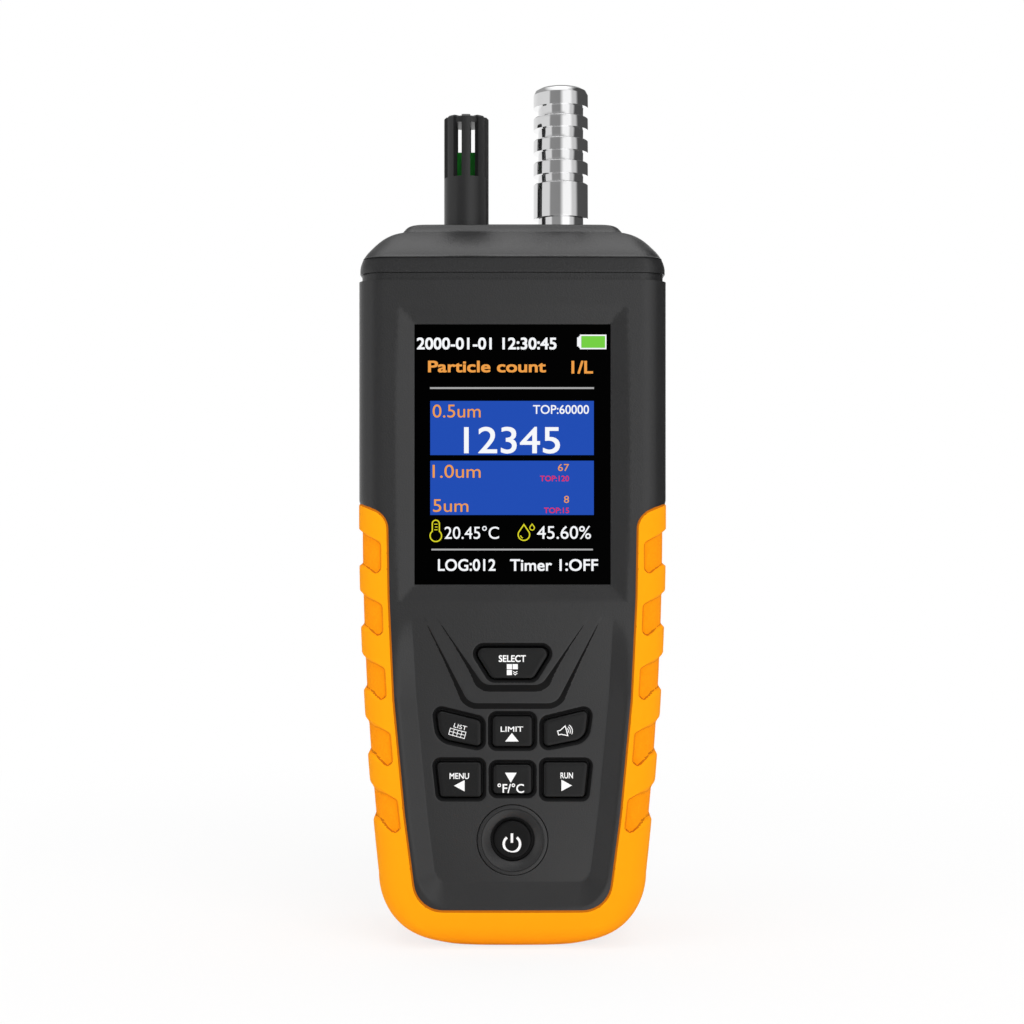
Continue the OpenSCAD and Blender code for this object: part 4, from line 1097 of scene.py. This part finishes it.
def display():
    """The display's picture: its places are pixels of a panel of 240 by 320."""
    glass = tree_of([nodes["display_window"], shell])
    a, b, number = (place("screen_" + point, glass) / MM for point in ("top_left", "bottom_right", "number"))
    h = -number.y + 0.02
    dot = (b.x - a.x) / 240

    def at(u, v):
        return a.x + dot * u, a.z + (b.z - a.z) * v / 320

    def words(text, u0, v0, u1, v1, bold=0.0):
        return fitted(letters(text, bold), *at(u0, v1), *at(u1, v0))

    def block(u0, v0, u1, v1):
        return rectangle(*at(u0, v1), *at(u1, v0))

    def line(points, width, closed=True):
        return stroke([at(u, v) for u, v in points], width * dot, closed)

    white, orange = lit("display_white", 248, 250, 253), lit("display_orange", 240, 160, 74)
    blue, green = lit("display_blue", 35, 78, 181), lit("display_green", 119, 209, 70)
    yellow, red = lit("display_yellow", 222, 217, 44), lit("display_red", 226, 45, 88)
    grey = lit("display_grey", 170, 170, 170)
    wide, tall = (q - p for p, q in zip(at(61.7, 159.2), at(178.5, 126.4)))
    digits = fitted(letters("12345", 0.006), -wide / 2, -tall / 2, wide / 2, tall / 2)
    printed("display_numbers", [digits], white, h + 0.03, at=(number.x, number.z))
    printed("display_blocks", [block(20.6, 94.7, 219.7, 161.0), block(20.6, 167.9, 219.7, 234.3)], blue, h)
    printed("display_rules", [block(20.3, 77.9, 219.9, 80.1), block(22.0, 275.6, 218.6, 277.6)], grey, h)
    for name, color, rows in (
            ("display_words", white, [
                ("2000-01-01 12:30:45", 4.2, 17.1, 174.3, 31.9, 0.022),
                ("TOP:60000", 145.7, 99.7, 213.8, 110.7, 0.008),
                ("20.45°C", 38, 247.8, 104.3, 263.7, 0.004), ("45.60%", 150.5, 247.8, 216.3, 263.7, 0.004),
                ("LOG:012", 30, 288.2, 100.2, 302.9, 0.016),
                ("Timer 1:OFF", 117.7, 288.2, 224.8, 302.9, 0.016)]),
            ("display_titles", orange, [
                ("Particle count", 17.9, 45.5, 161.5, 59.9, 0.022), ("1/L", 192.5, 45.5, 218.7, 61.4, 0.022),
                ("0.5um", 23.5, 99.1, 81.9, 115.1), ("1.0um", 23.5, 172.8, 81.9, 188.9),
                ("5um", 24, 215.1, 67, 230.6),
                ("67", 176.1, 171.9, 189.5, 180.5), ("8", 183.4, 210.8, 189.5, 219.6)]),
            ("display_limits", red, [
                ("TOP:120", 154.2, 186.2, 189.5, 193.1, 0.01), ("TOP:15", 159, 225.3, 189.5, 232.1, 0.01)])):
        printed(name, [words(*row) for row in rows], color, h + 0.03)
    # Battery: an outline with its contact, and the charge inside
    printed("display_battery_frame", [
        line([(203.6, 14.4), (234.2, 14.4), (234.2, 30.6), (203.6, 30.6)], 1.7),
        block(199.4, 17.0, 203.2, 28.0), block(201.4, 15.4, 204.2, 29.6)], white, h)
    printed("display_battery_charge", [block(204.6, 15.3, 233.4, 29.7)], green, h + 0.012)

    # Thermometer with its marks, and drops
    def drop(u, v, r, tall):
        turn = np.radians(np.linspace(62, 298, 26))
        return [(u, v - tall)] + [(u + r * math.sin(q), v - r * math.cos(q)) for q in turn]

    stem, bulb = 4.3, 7.0
    k = math.degrees(math.asin(stem / bulb))
    thermometer = arc(27.4, -245.0, stem, 180, 0, 14) + arc(27.4, -259.8, bulb, 90 - k, -270 + k, 30)
    shine = arc(134.6, -258.6, 4.1, 190, 250, 8)
    marks = [line([(29.5, v), (u, v)], 1.1, False) for u, v in ((25.5, 245.5), (26.5, 249), (25.5, 252.4))]
    printed("display_icons", [
        line([(u, -v) for u, v in thermometer], 1.5), *marks, line(drop(134.6, 258.4, 7.0, 12.4), 1.5),
        line(drop(144.6, 250.0, 2.8, 4.6), 1.2), line([(u, -v) for u, v in shine], 1.3, False)], yellow, h)


display()


def word(text, width, height, x, z, bold):
    return fitted(letters(text, bold), x - width / 2, z - height / 2, x + width / 2, z + height / 2)


def legend(key, shapes, degrees=0.0):
    """A white print centred on its image point, on the key's own top."""
    at = place(key + "_legend", tree_of([bpy.data.objects[key + "_key_cap"]])) / MM
    c, s = math.cos(math.radians(degrees)), math.sin(math.radians(degrees))
    pts, faces = together(shapes)
    pts = pts @ np.array([[c, s], [-s, c]])
    pts = pts - (pts.min(0) + pts.max(0)) / 2
    shapes, white = [(pts, faces)], FINISHES["legend_white"]
    printed(key + "_print", shapes, white, -at.y + 0.04, key + "_key", (at.x, at.z))


tiles = [rectangle(x, z, x + 1.28, z + 1.28) for x, z in ((-1.36, 0.08), (0.08, 0.08), (-1.36, -1.36))]
ticks = [stroke([(0.2, z), (0.72, z - 0.36), (1.25, z)], 0.2) for z in (-0.42, -0.92)]
legend("select", [word("SELECT", 6.7, 1.7, 0, 2.72, 0.022)] + tiles + ticks)
table = [stroke([(-2.0, -0.8), (2.0, -0.8), (2.0, 0.8), (-2.0, 0.8)], 0.17, True)]
rules = [[(-2.0, 0), (2.0, 0)]] + [[(x, -0.8), (x, 0.8)] for x in (-1.0, 0.0, 1.0)]
table += [stroke(rule, 0.15) for rule in rules]
legend("list", [word("LIST", 3.3, 1.05, 0.3, 1.74, 0.004)] + table, -15)
legend("up", [word("LIMIT", 5.6, 1.3, 0, 1.07, 0.01), polygon([(-1.68, -2.0), (1.68, -2.0), (0, 0.12)])])
horn = [(-1.85, -0.5), (-1.2, -0.5), (0.3, -1.25), (0.3, 1.25), (-1.2, 0.5), (-1.85, 0.5)]
waves = [stroke(arc(-0.1, 0, r, -40, 40, 12), 0.2) for r in (0.85, 1.35, 1.85)]
legend("sound", [stroke(horn, 0.24, True)] + waves, 15)
arrow = [(1.32, -2.28), (1.32, 0.54), (-1.32, -0.87)]
legend("left", [word("MENU", 4.84, 1.48, 0, 1.54, 0.016), polygon(arrow)])
legend("down", [polygon([(-1.45, 2.65), (1.45, 2.65), (0, 0.15)]), word("°F/°C", 6.6, 2.35, 0, -1.2, 0.012)])
legend("right", [word("RUN", 3.1, 1.48, 0, 1.6, 0.016), polygon([(-x, z) for x, z in arrow])])
legend("power", [stroke(arc(0, 0, 2.03, 127, 413, 60), 0.62), stroke([(0, 0.3), (0, 2.65)], 0.62)])

# ------------ light and floor

WORLD, GLOSS, FLOOR_GLOSS = 0.5, 0.95, 1.08
# The greys that gloss picks up: round the horizon, by degrees from the front, and towards the top
AROUND = [(-180, 0.9), (-110, 0.69), (-52, 0.70), (-45, 0.25), (-6, 0.24),
          (10, 1.0), (38, 1.0), (48, 0.62), (62, 0.58), (74, 0.075), (154, 0.07), (164, 1.0)]
UPWARD = [(0.0, 0.34), (0.74, 0.34), (0.90, 1.4), (0.97, 2.0)]
# Place and size in metres, and power in watts
LAMPS = [("key_lamp", (0.5, -1.0, 0.75), (0.9, 0.6), 6.2), ("top_lamp", (0.0, -0.1, 1.4), (1.2, 1.0), 8),
         ("left_lamp", (-1.1, -0.5, 0.4), (0.6, 0.9), 2.7),
         ("front_lamp", (0.0, -1.2, 0.12), (1.4, 0.3), 2.7)]
AIM = Vector((0, 0, 0.1))


def maths(t, operation, *values):
    return node(t, "ShaderNodeMath", enumerate(values), operation=operation).outputs[0]


def eased(t, value, lo, hi, out_lo=0.0, out_hi=1.0, curve="SMOOTHSTEP"):
    inputs = {"Value": value, "From Min": lo, "From Max": hi, "To Min": out_lo, "To Max": out_hi}
    return node(t, "ShaderNodeMapRange", inputs, interpolation_type=curve).outputs["Result"]


def ramp(t, value, stops, lo, hi):
    """A grey for each place from lo to hi, where the value runs from 0 to 1."""
    n = node(t, "ShaderNodeValToRGB", {0: value})
    elements = n.color_ramp.elements
    elements.remove(elements[-1])
    for k, (mark, grey) in enumerate(stops):
        at = (mark - lo) / (hi - lo)
        e = elements[0] if k == 0 else elements.new(at)
        e.position, e.color = at, (grey, grey, grey, 1)
    return n.outputs[0]


def around_grey(t, axes):
    angle = maths(t, "ARCTAN2", axes["X"], maths(t, "MULTIPLY", axes["Y"], -1.0))
    return ramp(t, eased(t, angle, -math.pi, math.pi, curve="LINEAR"), AROUND, -180, 180)


def mixed(t, factor, a, b):
    return node(t, "ShaderNodeMix", {0: factor, 6: a, 7: b}, data_type="RGBA").outputs[2]


def mixed_shader(t, factor, a, b):
    return node(t, "ShaderNodeMixShader", {0: factor, 1: a.outputs[0], 2: b.outputs[0]})


def cleared(owner):
    """The owner's tree, emptied, with its ray kinds, its place or direction, and that one's three parts."""
    owner.use_nodes = True
    t = owner.node_tree
    t.nodes.clear()
    path = node(t, "ShaderNodeLightPath").outputs
    rays = {kind: path[f"Is {kind} Ray"] for kind in ("Camera", "Glossy", "Transmission")}
    where = node(t, "ShaderNodeTexCoord").outputs["Generated" if owner == scene.world else "Object"]
    return t, rays, where, node(t, "ShaderNodeSeparateXYZ", {0: where}).outputs


def floor():
    """White, with the object's shadow near it; in gloss it shows the studio's cards that stand round it."""
    m = bpy.data.materials.new("floor_white")
    t, rays, where, axes = cleared(m)
    far = node(t, "ShaderNodeVectorMath", {0: where}, operation="LENGTH").outputs["Value"]
    seen_by = maths(t, "MAXIMUM", maths(t, "MAXIMUM", rays["Camera"], rays["Glossy"]), rays["Transmission"])
    cards = maths(t, "MULTIPLY", around_grey(t, axes), FLOOR_GLOSS)
    flat = node(t, "ShaderNodeBsdfDiffuse", {"Color": (0.9, 0.9, 0.9, 1)})
    glow = node(t, "ShaderNodeEmission", {"Color": mixed(t, rays["Glossy"], (1, 1, 1, 1), cards)})
    mix = mixed_shader(t, maths(t, "MULTIPLY", seen_by, eased(t, far, 0.06, 0.34, 0.80, 1.0)), flat, glow)
    node(t, "ShaderNodeOutputMaterial", {0: mix.outputs[0]})
    mesh = bpy.data.meshes.new("floor")
    r = 12.0
    mesh.from_pydata([(-r, -r, 0), (r, -r, 0), (r, r, 0), (-r, r, 0)], [], [(0, 1, 2, 3)])
    mesh.materials.append(m)
    o = bpy.data.objects.new("floor", mesh)
    scene.collection.objects.link(o)


def light():
    """An even world for the object, a room of greys for its gloss, white for the camera, and four lamps."""
    scene.world = bpy.data.worlds.new("studio")
    t, rays, _, axes = cleared(scene.world)
    high = ramp(t, eased(t, axes["Z"], 0, 1, curve="LINEAR"), UPWARD, 0, 1)
    # Only what faces the front or the left meets the bright ceiling low down; the rest keeps the level greys
    turned_in = maths(t, "MAXIMUM", eased(t, axes["X"], 0.45, 0.12), eased(t, axes["X"], -0.2, -0.5))
    low_down = maths(t, "MULTIPLY", eased(t, axes["Z"], 0.26, 0.42), turned_in)
    up = maths(t, "MAXIMUM", low_down, eased(t, axes["Z"], 0.75, 0.93))
    plain = node(t, "ShaderNodeBackground", {"Color": (1, 1, 1, 1), "Strength": WORLD})
    white = node(t, "ShaderNodeBackground", {"Color": (1, 1, 1, 1), "Strength": 1.0})
    greys = mixed(t, up, around_grey(t, axes), high)
    room = node(t, "ShaderNodeBackground", {"Color": greys, "Strength": GLOSS})
    mix = mixed_shader(t, rays["Glossy"], plain, room)
    mix = mixed_shader(t, maths(t, "MAXIMUM", rays["Camera"], rays["Transmission"]), mix, white)
    node(t, "ShaderNodeOutputWorld", {0: mix.outputs[0]})
    for name, at, size, power in LAMPS:
        d = bpy.data.lights.new(name, "AREA")
        d.shape, d.size, d.size_y = "RECTANGLE", *size
        d.energy = power
        o = bpy.data.objects.new(name, d)
        scene.collection.objects.link(o)
        o.location = at
        o.rotation_mode = "QUATERNION"
        o.rotation_quaternion = (AIM - Vector(at)).to_track_quat("-Z", "Y")
        o.visible_camera = o.visible_glossy = False


floor()
light()

# ------------ where the image points' things show


def seen(name):
    """The pixels of a piece's finished vertices, with their places in millimetres."""
    e = bpy.data.objects[name].evaluated_get(bpy.context.evaluated_depsgraph_get())
    places = [e.matrix_world @ v.co for v in e.to_mesh().vertices]
    e.to_mesh_clear()
    return np.array([(*pixel_of(p), *(p / MM)) for p in places])


def middle(p):
    return (p[:, 0].min() + p[:, 0].max()) / 2, (p[:, 1].min() + p[:, 1].max()) / 2


def things_seen():
    """Where each image point's thing shows."""
    front, rubber, cap_shell = seen("front_shell"), seen("boot"), seen("cap_shell")
    glass, barbs, cage = seen("display_window"), seen("nozzle_chrome"), seen("probe_cage")
    row = front[np.abs(front[:, 1] - 400) < 6]
    corner = cap_shell[np.abs(cap_shell[:, 1] - 228) < 1.2]
    x, y, z = rubber[:, 2:].T
    foot = rubber[(np.abs(x) < 3) & (y < -FACE + 1) & (z > 9) & (z < 12)]

    def bezel_corner(side, k):
        return pixel_of(Vector((side * BEZEL_X[k], -face_height(BEZEL_X[k], BEZEL_Z[k]), BEZEL_Z[k])) * MM)

    out = {
        "left_side": (row[:, 0].min(), 400.0), "right_side": (row[:, 0].max(), 400.0),
        "nozzle_top": (middle(barbs)[0], barbs[:, 1].min()), "cage_top": (middle(cage)[0], cage[:, 1].min()),
        "boot_bottom": (middle(rubber)[0], rubber[:, 1].max()), "plateau_left": (corner[:, 0].min(), 228.0),
        "bezel_top_left": bezel_corner(-1, -1), "bezel_bottom_right": bezel_corner(1, 0),
        "screen_top_left": glass.min(0)[:2], "screen_bottom_right": glass.max(0)[:2],
        "screen_number": middle(seen("display_numbers")),
        "boot_opening_bottom": (middle(foot)[0], foot[:, 1].min()),
    }
    for name in ("select", "list", "up", "sound", "left", "down", "right", "power"):
        out[name + "_legend"] = middle(seen(name + "_print"))
    return out


# ------------ closing

bpy.context.view_layer.update()
shown = things_seen()
